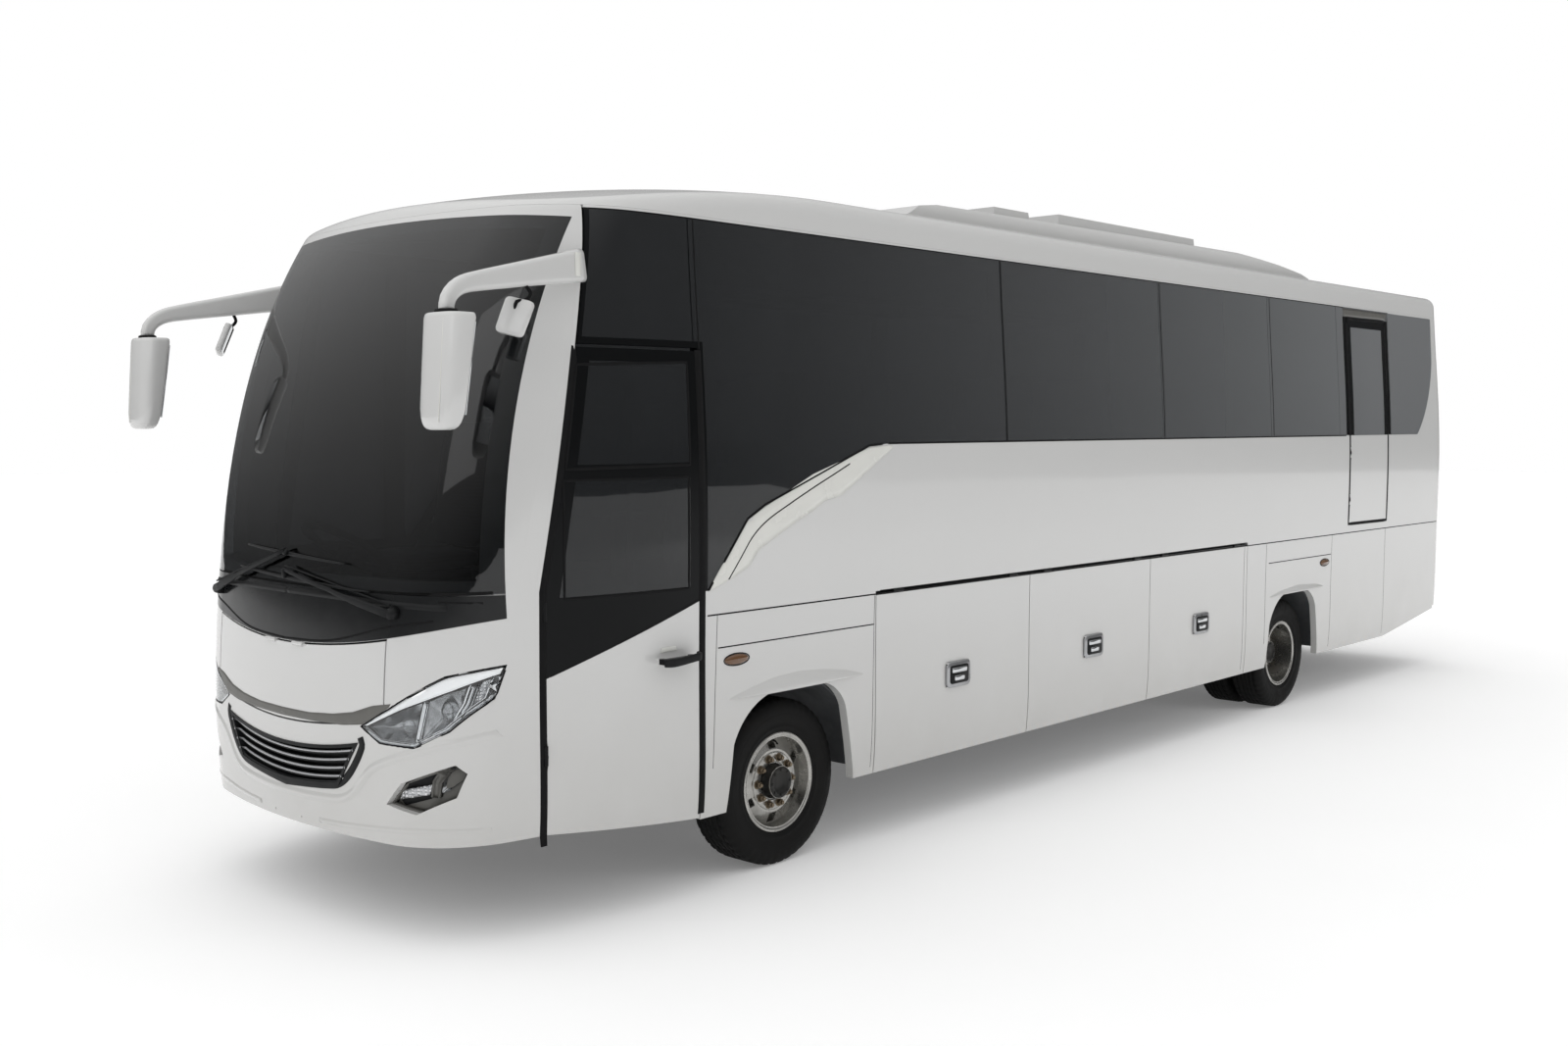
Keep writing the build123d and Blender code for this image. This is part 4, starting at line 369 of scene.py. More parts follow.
def strip(path, section, face, step=30.0, closed=False):
    """A strip that follows the skin. section holds (across, out) in millimetres, out being the
    height over the skin; the path lies in the flat view of that face."""
    path = resample(path, step)
    section = np.asarray(section, float)
    if closed:
        path = path[:-1]
        tangent = unit(np.roll(path, -1, 0) - np.roll(path, 1, 0))
    else:
        tangent = unit(np.gradient(path, axis=0))
    side = np.stack([-tangent[:, 1], tangent[:, 0]], -1)
    flat = path[:, None] + side[:, None] * section[None, :, :1]
    if np.ptp(section[:, 0]) > FOLLOWS_SKIN:
        depth = drop(flat, face)
    else:
        depth = np.repeat(drop(path, face)[:, None], len(section), 1)
    points = raised(flat, depth + section[None, :, 1] * SKINS[face][1], face).reshape(-1, 3)
    rows, columns = len(path), len(section)
    faces = grid_faces(rows, columns, True, True) if closed else bar_faces(rows, columns)
    return points, outward(points, faces)


def band(path, width, proud, face, step=30.0, closed=False, sink=2.5):
    """A flat strip with eased edges along a line on the skin, its foot sunk below the skin."""
    half = width / 2
    ease = min(half * 0.4, proud * 0.8)
    section = [(-half, -sink), (-half, proud - ease), (-half + ease, proud), (half - ease, proud),
               (half, proud - ease), (half, -sink)]
    return strip(path, section, face, step, closed)


def patch(low, high, face, out, rows, count=28):
    """A thin plate between a lower and an upper edge, with count points along them; it follows
    the skin out millimetres proud."""
    low, high = edges_of(low, high, count)
    share = np.linspace(0, 1, rows)[:, None, None]
    flat = low[None] * (1 - share) + high[None] * share
    outer = on_skin(flat, face, out)
    inner = on_skin(flat, face, out - 3.0)
    total = outer.shape[0] * outer.shape[1]
    points = np.concatenate([outer.reshape(-1, 3), inner.reshape(-1, 3)])
    r, c = outer.shape[:2]
    faces = grid_faces(r, c)
    faces += [f[::-1] for f in grid_faces(r, c, start=total)]
    edge = (list(range(c)) + [i * c + c - 1 for i in range(1, r)]
            + [(r - 1) * c + i for i in range(c - 2, -1, -1)] + [i * c for i in range(r - 2, 0, -1)])
    faces += [[a, b, b + total, a + total] for a, b in zip(edge, edge[1:] + edge[:1])]
    return points, outward(points, faces)


# Finishes

def enamel_sockets(tree, place):
    """Two-pack coach enamel: faint orange peel, and a colour a shade darker and browner towards the bottom of
    the body, in soft blotches.
    """
    # film: the colour darkens towards the bottom of the body, in soft blotches.
    film = math_node(tree, "MULTIPLY", ramp(tree, axes(tree, place)[2], 1.0, 0.0, 0.35, 1.15),
                     ramp(tree, speckle(tree, place, 260, 4), 0.35, 1.0))
    return {"Base Color": between(tree, film, linear("#D2D2D1"), linear("#C2C1BE")),
            "Normal": bumps(tree, speckle(tree, place, 7, 1), 0.06, 0.25),
            "Roughness": ramp(tree, speckle(tree, place, 180), 0.17, 0.25)}


def dulled(tree, mask, found, tone):
    """Where the mask holds the surface is satin film of that tone, with no clear coat."""
    return {**found, "Base Color": between(tree, mask, found["Base Color"], tone),
            "Coat Weight": ramp(tree, mask, 0.5, 0.0),
            "Specular IOR Level": ramp(tree, mask, 0.5, 0.12)}


def door_sockets(tree, place):
    """White enamel below a slanting edge, black gloss film above it; the handle and the hinge
    barrels are black too."""
    x, y, z = axes(tree, place)
    slope = 0.252 / 0.744
    edge_y, edge_z = -1.35, 1.056
    line = math_node(tree, "MULTIPLY_ADD", y, slope)
    line.node.inputs[2].default_value = edge_z - (edge_y - ORIGIN_Y * MM) * slope
    bar = every(tree, above(tree, x, 1.179), above(tree, z, 1.03), above(tree, 1.11, z))
    barrels = above(tree, -1.371 - ORIGIN_Y * MM, y)
    over = math_node(tree, "MAXIMUM", above(tree, z, line), math_node(tree, "MAXIMUM", bar, barrels))
    return dulled(tree, over, enamel_sockets(tree, place), linear("#101112"))


def wall_sockets(tree, place):
    """White enamel. Behind the bonded glass band the wall is black, down to the line that
    swoops under the first panes; so are the door surrounds and the flaps' hinge barrels."""
    x, y, z = axes(tree, place)
    y = math_node(tree, "ADD", y, ORIGIN_Y * MM)
    line = add(tree, "ShaderNodeValToRGB", inputs={0: ramp(tree, y, 0.0, 1.0, -0.565, 0.692)})
    stops = line.color_ramp.elements
    stops[0].color = (0, 0, 0, 1)
    stops[1].color = (1, 1, 1, 1)
    for at, level in ((0.196, 0.477), (0.286, 0.574), (0.874, 0.982)):
        stops.new(at).color = (level, level, level, 1)
    swoop = ramp(tree, line.outputs[0], 1.345, 1.972)
    pillar = ramp(tree, z, -1.387, -1.13, 1.4, 2.92)
    behind_glass = every(tree, above(tree, z, swoop), above(tree, y, pillar),
                         above(tree, 7.145, y), above(tree, 2.944, z))
    panel = every(tree, above(tree, z, 2.873), above(tree, y, 6.26), behind_glass)
    black = between(tree, panel, linear("#101112"), linear("#6A6B6C"))
    barrels = every(tree, above(tree, z, 1.228), above(tree, 1.2515, z), above(tree, y, 0.62),
                    above(tree, 4.6, y), above(tree, math_node(tree, "ABSOLUTE", x, 0.0), 1.1))
    over = math_node(tree, "MAXIMUM", behind_glass, barrels)
    return dulled(tree, over, enamel_sockets(tree, place), black)


def flap_sockets(tree, place):
    """White enamel; the hinge barrels at the head are black, the catch plate is dark iron."""
    x, _, z = axes(tree, place)
    out = math_node(tree, "ABSOLUTE", x, 0.0)
    plate = every(tree, above(tree, out, 1.1755), above(tree, z, 0.70), above(tree, 0.82, z))
    over = math_node(tree, "MAXIMUM", plate, above(tree, z, 1.228))
    return dulled(tree, over, enamel_sockets(tree, place), linear("#1A1B1C"))


def exit_door_sockets(tree, place):
    """White below the waist, black above it."""
    over = above(tree, axes(tree, place)[2], 1.97)
    return dulled(tree, over, enamel_sockets(tree, place), linear("#141516"))


def moulded_sockets(low, high, grain_mm=1.6, rough=(0.45, 0.62), depth=0.12):
    """Moulded plastic: two tones a shade apart and a fine spark-eroded grain."""
    def build(tree, place):
        tone = between(tree, speckle(tree, place, 90), linear(low), linear(high))
        return {"Base Color": tone, "Roughness": ramp(tree, speckle(tree, place, 60), *rough),
                "Normal": bumps(tree, speckle(tree, place, grain_mm, 2), 0.35, depth)}
    return build


def brushed_sockets(low, high, rough, size=40):
    """Metal with cloudy tone and uneven polish."""
    def build(tree, place):
        cloud = speckle(tree, place, size, 5)
        return {"Base Color": between(tree, cloud, linear(low), linear(high)),
                "Roughness": ramp(tree, cloud, *rough, 0.3, 0.7),
                "Normal": bumps(tree, speckle(tree, place, 3, 2), 0.12, 0.1)}
    return build


def dusty_sockets(base, dust, rough):
    """Surfaces under the floor: road dust gathers in soft patches."""
    def build(tree, place):
        cloud = ramp(tree, speckle(tree, place, 150, 6, 0.6), 0.0, 1.0, 0.42, 0.75)
        return {"Base Color": between(tree, cloud, linear(base), linear(dust)),
                "Roughness": ramp(tree, cloud, *rough),
                "Normal": bumps(tree, speckle(tree, place, 5, 4), 0.3, 0.4)}
    return build


def rubber_sockets(tree, place):
    """Tyre rubber: near black, browner and duller where dust sits on the walls."""
    dust = ramp(tree, speckle(tree, place, 60, 6, 0.65), 0.0, 1.0, 0.45, 0.8)
    return {"Base Color": between(tree, dust, linear("#121212"), linear("#1D1C1B")),
            "Roughness": ramp(tree, dust, 0.62, 0.85),
            "Normal": bumps(tree, speckle(tree, place, 2.5, 3), 0.35, 0.3)}


def moquette_sockets(tree, place):
    """Cut-pile seat cloth: tufts about 6 mm apart, drawn coarse enough to show, over a quiet
    two-tone weave; each tuft is painted darker towards its edge, as painted shade between the tufts."""
    tufts = add(tree, "ShaderNodeTexVoronoi",
                inputs={"Vector": place, "Scale": 1000 / 6.0}).outputs["Distance"]
    weave = add(tree, "ShaderNodeTexWave", {"wave_type": "BANDS", "bands_direction": "Z"},
                {"Vector": place, "Scale": 1000 / 60.0, "Distortion": 2.0}).outputs["Fac"]
    tone = between(tree, ramp(tree, weave, 0.2, 0.9), linear("#3A3F4C"), linear("#565C6B"))
    # Painted shade: each tuft darkens towards its edge, where the tufts part.
    shade = between(tree, ramp(tree, tufts, 0.0, 0.6), tone, linear("#23262E"))
    return {"Base Color": shade, "Normal": bumps(tree, tufts, 0.6, 1.2)}


def indicator_sockets(tree, place):
    """Prism grid moulded behind the clear indicator cover."""
    grid = add(tree, "ShaderNodeTexVoronoi", {"feature": "F1", "distance": "CHEBYCHEV"},
               {"Vector": place, "Scale": 1000 / 13.0, "Randomness": 0.15}).outputs["Distance"]
    return {"Base Color": between(tree, ramp(tree, grid, 0, 1, 0, 0.6), linear("#F4F5F6"), linear("#8C8E92")),
            "Normal": bumps(tree, grid, 1.0, 4.0), "Roughness": ramp(tree, grid, 0.08, 0.2)}


def tint_sockets(low, high):
    """Tinted safety glass: even in colour, with a faint roller wave."""
    def build(tree, place):
        cloud = speckle(tree, place, 500, 2)
        return {"Base Color": between(tree, cloud, linear(low), linear(high)),
                "Normal": bumps(tree, speckle(tree, place, 320, 1), 0.05, 0.6)}
    return build


def side_tint_and_painted_reflection_sockets(tree, place):
    """Side glass: darkest by the cab; towards the tail its colour is painted paler and milkier, a painted
    reflection of the bright surroundings.
    """
    rear = ramp(tree, axes(tree, place)[1], 0.0, 1.0, -3.9, 3.6)
    # Painted reflection: the tint's colour grows paler towards the tail.
    return {"Base Color": between(tree, rear, linear("#3C3E40"), linear("#909294")),
            "Normal": bumps(tree, speckle(tree, place, 320, 1), 0.05, 0.6),
            "Transmission Weight": ramp(tree, rear, 0.62, 0.38),
            "Specular IOR Level": ramp(tree, rear, 0.12, 0.5, 0.1, 0.5)}


def coated(name, build):
    """Enamel under a thin clear coat."""
    return material(name, build, **{"Coat Weight": 0.5, "Coat Roughness": 0.05})


def plastic(name, tones, *how, **shader):
    """A moulding: how holds its grain, roughness and depth."""
    return material(name, moulded_sockets(*tones, *how), **shader)


def metal(name, tones, rough, size=40, shine=0.9, dusty=False):
    """Bright metal clouded at that size in millimetres, or a dusty one from under the floor."""
    build = dusty_sockets(*tones, rough) if dusty else brushed_sockets(*tones, rough, size)
    return material(name, build, Metallic=shine)


def glass(name, tones, rough, index):
    """Clear or evenly tinted glass, or a clear plastic."""
    return material(name, tint_sockets(*tones), Roughness=rough, IOR=index, **{"Transmission Weight": 1.0})


ENAMEL = coated("white_coach_enamel", enamel_sockets)
DOOR_ENAMEL = coated("door_enamel_and_film", door_sockets)
WALL_ENAMEL = coated("wall_enamel", wall_sockets)
FLAP_ENAMEL = coated("flap_enamel", flap_sockets)
EXIT_ENAMEL = coated("exit_door_enamel", exit_door_sockets)
ACCENT = material("cream_accent_lacquer", brushed_sockets("#E4E4DF", "#DADAD5", (0.2, 0.3), 120))
SIDE_GLASS = material("grey_safety_glass", side_tint_and_painted_reflection_sockets, Roughness=0.02, IOR=1.5)
SCREEN_GLASS = glass("laminated_screen", ("#6C6E70", "#646668"), 0.015, 1.5)
CLEAR_LENS = glass("clear_polycarbonate", ("#FBFCFD", "#F2F4F5"), 0.02, 1.45)
BLACK_GLOSS = plastic("black_gloss_panel", ("#161718", "#1E1F20"), 6, (0.12, 0.2), 0.05,
                      **{"Specular IOR Level": 0.3})
RUBBER_SEAL = plastic("epdm_seal", ("#0E0E0F", "#151516"), 2.5, (0.6, 0.8), **{"Specular IOR Level": 0.15})
BLACK_PLASTIC = plastic("grained_abs", ("#141516", "#1C1D1E"), **{"Specular IOR Level": 0.2})
GREY_PLASTIC = plastic("grey_moulding", ("#5A5955", "#666561"), 2, (0.35, 0.5))
DASH_PLASTIC = plastic("dash_moulding", ("#2B2C2E", "#343537"), 2.2)
FLOOR_VINYL = plastic("speckled_vinyl", ("#4A4B4E", "#5C5D60"), 5, (0.5, 0.7))
AMBER_LENS = plastic("amber_lens", ("#6E4A2A", "#5C3D22"), 4, (0.15, 0.25), **{"Coat Weight": 0.6})
RED_LENS = plastic("red_lens", ("#8E0F10", "#760A0C"), 8, (0.12, 0.2), **{"Coat Weight": 0.6})
LIGHT_GUIDE = plastic("white_light_guide", ("#FFFFFF", "#F4F6F8"), 5, (0.2, 0.3),
                      **{"Emission Color": linear("#FFFFFF"), "Emission Strength": 0.35})
CHROME = metal("chrome_plate", ("#D6D8DA", "#C6C8CA"), (0.06, 0.14), shine=1.0)
SATIN_SILVER = metal("satin_silver_lacquer", ("#B9BABC", "#A5A6A8"), (0.25, 0.38))
WHEEL_STEEL = metal("silver_wheel_paint", ("#C4C3BF", "#8E8C88"), (0.18, 0.36), 70)
NUT_STEEL = metal("tarnished_nut_steel", ("#8C7F6C", "#6A5E50"), (0.35, 0.55), 12)
TANK_STEEL = metal("tank_steel", ("#6C6E70", "#5A5B5D"), (0.35, 0.5), shine=0.8)
BAY_SHEET = metal("galvanised_bay_sheet", ("#5C5E60", "#4A4C4E"), (0.4, 0.6), 90, 0.5)
MIRROR = metal("silvered_mirror", ("#DADCDD", "#D0D2D4"), (0.02, 0.04), shine=1.0)
REFLECTOR = metal("facet_reflector", ("#C0C2C4", "#4A4C4E"), (0.04, 0.12), 26, 1.0)
HUB_IRON = metal("oiled_hub_iron", ("#232322", "#3A3835"), (0.4, 0.7), shine=0.5, dusty=True)
CAST_IRON = metal("cast_iron", ("#3B3B3C", "#55524D"), (0.6, 0.9), shine=0.4, dusty=True)
SPRING_STEEL = metal("spring_steel", ("#3A3A3B", "#57534D"), (0.4, 0.7), shine=0.7, dusty=True)
CHASSIS_PAINT = material("chassis_black", dusty_sockets("#17181A", "#3B3935", (0.45, 0.8)))
TYRE = material("tyre_rubber", rubber_sockets, **{"Specular IOR Level": 0.15})
CLOTH = material("moquette", moquette_sockets, **{"Roughness": 0.9, "Sheen Weight": 0.4})
INDICATOR = material("prism_reflector", indicator_sockets, Metallic=0.75)

DRESS = {
    ENAMEL: ["front_panel", "roof", "rear_wall", "bonnet_flap", "boot_lid", "roof_air_unit", "mirror_left",
             "mirror_right", "rear_bumper"],
    FLAP_ENAMEL: FLAPS["left"] + FLAPS["right"],
    WALL_ENAMEL: ["side_wall_left", "side_wall_right"],
    EXIT_ENAMEL: ["exit_door"],
    DOOR_ENAMEL: ["entrance_door"],
    SIDE_GLASS: ["side_glass_left", "side_glass_right", "rear_window", "entrance_door_glass",
                 "exit_door_glass"],
    SCREEN_GLASS: ["windscreen"],
    BLACK_GLOSS: ["cowl_band"],
    BLACK_PLASTIC: ["wipers", "grille"],
    DASH_PLASTIC: ["dashboard"],
    FLOOR_VINYL: ["floor", "cab_floor", "engine_cover", "entrance_steps"],
    BAY_SHEET: ["luggage_bays", "wheel_liners"],
    CHASSIS_PAINT: ["chassis_frame", "front_axle", "rear_axle", "prop_shaft"],
    CAST_IRON: ["engine", "knuckle_left", "knuckle_right"],
    SPRING_STEEL: ["leaf_springs", "tie_rod"],
    TANK_STEEL: ["fuel_tank", "silencer"],
    TYRE: ["tyre_front_left", "tyre_front_right", "tyres_rear_left", "tyres_rear_right"],
    WHEEL_STEEL: ["wheel_front_left", "wheel_front_right", "wheel_rear_left", "wheel_rear_right"],
    CLOTH: ["passenger_seats", "driver_seat"],
    RED_LENS: ["tail_lamps"],
    CLEAR_LENS: ["headlamps", "fog_lamps"],
}
for finish, names in DRESS.items():
    for name in names:
        slots = NODES[name].data.materials
        slots.clear()
        slots.append(finish)


# Studio: white floor and surroundings, soft light

def studio():
    """A world that lights from above and ahead and looks white, a paper floor and two lamps."""
    world = bpy.data.worlds.new("white_studio")
    bpy.context.scene.world = world
    world.use_nodes = True
    tree = world.node_tree
    tree.nodes.clear()
    way = add(tree, "ShaderNodeTexCoord").outputs["Generated"]
    front = add(tree, "ShaderNodeVectorMath", {"operation": "DOT_PRODUCT"},
                {0: way, 1: (-0.5, -0.8, 0.0)}).outputs[1]
    strength = math_node(tree, "MULTIPLY", ramp(tree, axes(tree, way)[2], 0.04, 1.3, 0.0, 1.0),
                         ramp(tree, front, 0.55, 1.45, -1.0, 1.0))
    light = add(tree, "ShaderNodeBackground", inputs={"Color": linear("#FFFFFF"), "Strength": strength})
    rays = add(tree, "ShaderNodeLightPath")
    white = add(tree, "ShaderNodeBackground", inputs={
        "Color": linear("#FFFFFF"), "Strength": ramp(tree, rays.outputs["Is Transmission Ray"], 1.0, 0.55)})
    seen = math_node(tree, "MAXIMUM", rays.outputs["Is Camera Ray"], rays.outputs["Is Transmission Ray"])
    mix = add(tree, "ShaderNodeMixShader", inputs={0: seen, 1: light.outputs[0], 2: white.outputs[0]})
    add(tree, "ShaderNodeOutputWorld", inputs={"Surface": mix.outputs[0]})

    mesh = bpy.data.meshes.new("studio_floor")
    reach = 60.0
    corners = [(-reach, -reach, 0), (reach, -reach, 0), (reach, reach, 0), (-reach, reach, 0)]
    mesh.from_pydata(corners, [], [(0, 1, 2, 3)])
    floor = bpy.data.objects.new("studio_floor", mesh)
    bpy.context.scene.collection.objects.link(floor)

    def floor_sockets(tree, place):
        tone = between(tree, speckle(tree, place, 900), linear("#FFFFFF"), linear("#FCFCFC"))
        return {"Base Color": tone, "Emission Color": tone}
    paper = material("white_paper_floor", floor_sockets, Roughness=1.0,
                     **{"Specular IOR Level": 0.0, "Emission Strength": 0.14})
    mesh.materials.append(paper)

    for name, place, aim, size, power in (
            ("key", (4.0, -14.0, 7.0), (0.0, -5.0, 1.2), 6.0, 90),
            ("side_fill", (14.0, 7.0, 6.0), (1.0, 4.0, 1.2), 7.0, 260)):
        light = bpy.data.lights.new(name, "AREA")
        light.size = size
        light.energy = power
        lamp = bpy.data.objects.new(name, light)
        bpy.context.scene.collection.objects.link(lamp)
        lamp.location = place
        lamp.visible_glossy = name == "key"      # the side fill isn't mirrored in the panels
        lamp.rotation_euler = direction_euler(np.array(aim) - np.array(place))


def direction_euler(vector):
    """Turns the -Z axis to point along a vector, with no roll."""
    x, y, z = vector / np.linalg.norm(vector)
    return (math.acos(-z), 0.0, math.atan2(-x, y))


FOCAL_PIXELS = 1546.106
PHOTO_WIDTH = 1600.0


def camera():
    """The photograph's view: 54.7 degrees across, from low off the coach's front left corner."""
    lens = bpy.data.cameras.new("view")
    lens.sensor_fit = "HORIZONTAL"
    lens.sensor_width = 36.0
    lens.lens = lens.sensor_width * FOCAL_PIXELS / PHOTO_WIDTH
    lens.clip_end = 300.0
    eye = bpy.data.objects.new("view", lens)
    bpy.context.scene.collection.objects.link(eye)
    yaw, pitch, roll = 0.743340, -0.065714, 0.0014
    eye.location = (5.833, -5.142 - ORIGIN_Y * MM, 2.068)
    eye.rotation_mode = "XYZ"
    eye.rotation_euler = (math.pi / 2 + pitch, roll, yaw)
    bpy.context.scene.camera = eye


bpy.context.scene.view_settings.view_transform = "Standard"
studio()
camera()


# Front face: lamps, grille and cowl. Points of the front view are (x, z).


def sunk_bowl(low, high, face, depth, rim=0.0):
    """A hollow behind an outline: flush at its edge, deepest in the middle."""
    rows, columns, power = 14, 34, 2.2
    low, high = edges_of(low, high, columns)
    v = np.linspace(0, 1, rows)[:, None]
    u = np.linspace(0, 1, columns)[None, :]
    flat = low[None] * (1 - v[..., None]) + high[None] * v[..., None]
    hollow = (1 - np.abs(2 * v - 1) ** power) * (1 - np.abs(2 * u - 1) ** (power * 3))
    points = on_skin(flat, face, rim - depth * hollow)
    return points.reshape(-1, 3), grid_faces(rows, columns)


def ridge(width, height):
    """Section of a soft crease pressed in the panel."""
    across = np.linspace(-0.5, 0.5, 9)
    return [(a * width, height * math.cos(a * math.pi) ** 2 - 0.6) for a in across] + [
        (width / 2, -2.5), (-width / 2, -2.5)]


# Headlamp outline, from its inner tip out along the bottom and along the top
LAMP_LOW = [(532, 862), (640, 806), (805, 800), (915, 868), (1012, 990), (1030, 1122)]
LAMP_HIGH = [(532, 862), (690, 948), (900, 1085), (1030, 1122)]
GUIDE_LOW = [(566, 868), (657, 909), (752, 953), (836, 989), (918, 1029), (976, 1062), (1018, 1088)]
GUIDE_HIGH = [(552, 868), (694, 941), (903, 1076), (1022, 1110)]


def headlamps():
    """Clear cover over three chrome chambers, a white light guide along the top edge."""
    cover = patch(LAMP_LOW, LAMP_HIGH, "front", 0.0, 12)
    lens = pair("headlamp_covers", cover, CLEAR_LENS, slot="lamp_clear")
    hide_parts("headlamps")
    pair("headlamp_shells", sunk_bowl(LAMP_LOW, LAMP_HIGH, "front", 62, -4), BLACK_GLOSS)
    pair("headlamp_guides", patch(GUIDE_LOW, GUIDE_HIGH, "front", -5.0, 4), LIGHT_GUIDE)
    rim = band([(560, 858), (645, 816), (802, 811), (906, 876), (1000, 993), (1016, 1080)], 13, -5,
               "front", 20, sink=16)
    dividers = [band(line, wide, -7, "front", 20, sink=30) for line, wide in (
        ([(842, 985), (829, 912), (812, 822)], 11), ([(972, 1052), (957, 975), (930, 905)], 15))]
    pair("headlamp_bezels", unite([rim, *dividers]), CHROME)
    chambers = [
        sunk_bowl([(590, 862), (650, 826), (797, 821)], [(590, 866), (700, 922), (826, 978)],
                  "front", 46, -8),
        sunk_bowl([(826, 828), (908, 892), (938, 935)], [(852, 985), (900, 1014), (952, 1036)],
                  "front", 40, -8)]
    pair("headlamp_reflectors", unite(chambers), REFLECTOR)
    markers = sunk_bowl([(956, 946), (996, 1000)], [(988, 1060), (1014, 1074)], "front", 14, -9)
    pair("headlamp_indicators", markers, INDICATOR)
    domes = []
    for x, z, radius in ((752, 872, 40), (888, 945, 36)):
        y = float(drop([(x, z)], "front")[0])
        angle = np.linspace(0, math.pi / 2, 9)
        profile = [(y + 40 - 24 * math.sin(a), radius * math.cos(a) + 0.2) for a in angle]
        domes.append(turned([(y + 52, radius + 5), (y + 34, radius + 7), (y + 33, radius + 1), *profile],
                            (x, 0, z), 40, 1))
    pair("headlamp_projectors", unite(domes), CLEAR_LENS)
    seal = band([*LAMP_LOW, *LAMP_HIGH[::-1][1:]], 7, 1.2, "front", 24, True)
    pair("headlamp_seals", seal, RUBBER_SEAL)


def grille_trim():
    """Bright edges on the slats, the dark strip over the grille and the pressed smile round it."""
    edges = []
    for row in range(1, 5):
        share = row * 0.2 + 0.022
        end = (385 + 128 * share, 602 + 193 * share)
        dip = 572 + 170 * share
        x = np.linspace(-1, 1, 41)
        line = np.stack([x * end[0], dip + (end[1] - dip) * x ** 2], -1)
        edges.append(strip(line, [(-5, -3), (-5, 1.5), (-3, 3.2), (3, 3.2), (5, 1.5), (5, -3)], "grille", 40))
    mesh_piece("grille_slat_edges", *unite(edges), SATIN_SILVER)
    low = np.array([(0, 847), (250, 850), (429, 856), (547, 871), (610, 906), (690, 952)])
    high = np.array([(0, 880), (200, 882), (366, 895), (489, 915), (602, 952), (700, 968)])
    strip_part = patch(low, high, "front", 1.4, 5, count=40)
    pair("bonnet_foot_strip", strip_part, GREY_PLASTIC)
    smile = [(1019, 853), (956, 830), (846, 797), (707, 748), (599, 701), (539, 648), (475, 585), (386, 548),
             (200, 532), (0, 527)]
    arc = curve_through(smile, 60)
    arc = np.concatenate([arc, (arc * [-1, 1])[::-1][1:]])
    mesh_piece("smile_crease", *strip(arc, ridge(44, 7), "front", 25), ENAMEL)
    lip = curve_through([(540, 812), (547, 770), (482, 672), (405, 610), (300, 588), (0, 560)], 50)
    lip = np.concatenate([lip, (lip * [-1, 1])[::-1][1:]])
    lip = band(lip * [0.985, 1] + [0, 5], 34, 2.5, "front", 20)
    mesh_piece("grille_lip", *lip, BLACK_PLASTIC)
    crease = curve_through([(239, 434), (458, 444), (734, 465), (908, 470), (1000, 470)], 40)
    pair("bumper_crease", strip(crease, ridge(30, 5), "front", 25), ENAMEL)


FOG_LOW = [(668, 565), (800, 535), (930, 606), (958, 700)]
FOG_HIGH = [(668, 565), (745, 655), (930, 735), (958, 700)]


def fog_lamps():
    """Grey bezel: a black sheet in the hollow as painted shade and a light bar on its inner side, a round
    chrome cup on its outer side.
    """
    back = patch(FOG_LOW, FOG_HIGH, "front", -24.0, 8)
    piece = pair("fog_bezels", back, GREY_PLASTIC, slot="bumper_plastic")
    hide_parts("fog_lamps")
    lip = strip([*FOG_LOW, *FOG_HIGH[::-1][1:]], [(-9, -26), (-9, 0.5), (-5, 2), (3, 2), (5, 0), (3, -26)],
                "front", 16, True)
    pair("fog_lips", lip, GREY_PLASTIC)
    # A black sheet in the hollow of the bezel's inner side: painted shade.
    slots = patch([(684, 590), (709, 556), (819, 592), (838, 652)],
                  [(684, 592), (742, 655), (809, 692), (876, 718)], "front", -20.0, 6)
    pair("fog_hollow_shade", slots, BLACK_PLASTIC)
    bar = patch([(694, 580), (820, 608)], [(714, 622), (834, 652)], "front", -9.0, 5)
    pair("fog_light_bars", bar, INDICATOR)
    cup = sunk_bowl([(858, 618), (884, 628), (918, 664)], [(872, 690), (900, 728), (940, 726)],
                    "front", 26, -12)
    pair("fog_reflectors", cup, REFLECTOR)
    post = band([(884, 722), (850, 662), (842, 600)], 22, -8, "front", 16, sink=26)
    pair("fog_dividers", post, GREY_PLASTIC)


def cowl():
    """Slot at each end of the dark band, dark line at its foot, a ridge along its shelf and the seal at the
    foot of the screen.
    """
    pair("cowl_slots", band([(874, 1374), (991, 1369)], 9, 1.0, "front"), RUBBER_SEAL)
    foot = curve_through([(0, 1172), (330, 1190), (635, 1260), (860, 1300)], 40)
    pair("cowl_foot_line", band(foot, 9, 1.6, "front", 25), RUBBER_SEAL)
    shelf = curve_through([(0, 1372), (300, 1370), (520, 1362), (700, 1358), (900, 1350)], 40)
    pair("cowl_shelf", strip(shelf, ridge(30, 6), "front", 25), BLACK_PLASTIC)
    low = np.array([(0, 1398), (400, 1398), (800, 1402), (1010, 1408)])
    pair("screen_foot_seal", band(low, 14, 2.2, "front", 25), RUBBER_SEAL)


headlamps()
fog_lamps()
grille_trim()
cowl()


# Sides. Points of the side view are (y, z).

ACCENT_LOW = [(-563, 1342), (-431, 1384), (-302, 1435), (-255, 1499), (-152, 1548), (-16, 1609), (126, 1666),
              (212, 1710), (321, 1726), (401, 1771), (588, 1878), (722, 1953)]
ACCENT_HIGH = [(-561, 1350), (-325, 1640), (-206, 1695), (120, 1833), (534, 1950), (700, 1960)]
PIN_LINE = [(-439, 1385), (-363, 1476), (-285, 1568), (-188, 1636), (-24, 1710), (126, 1773), (263, 1827),
            (383, 1875)]
DIVIDERS = [1709, 3440, 4990]


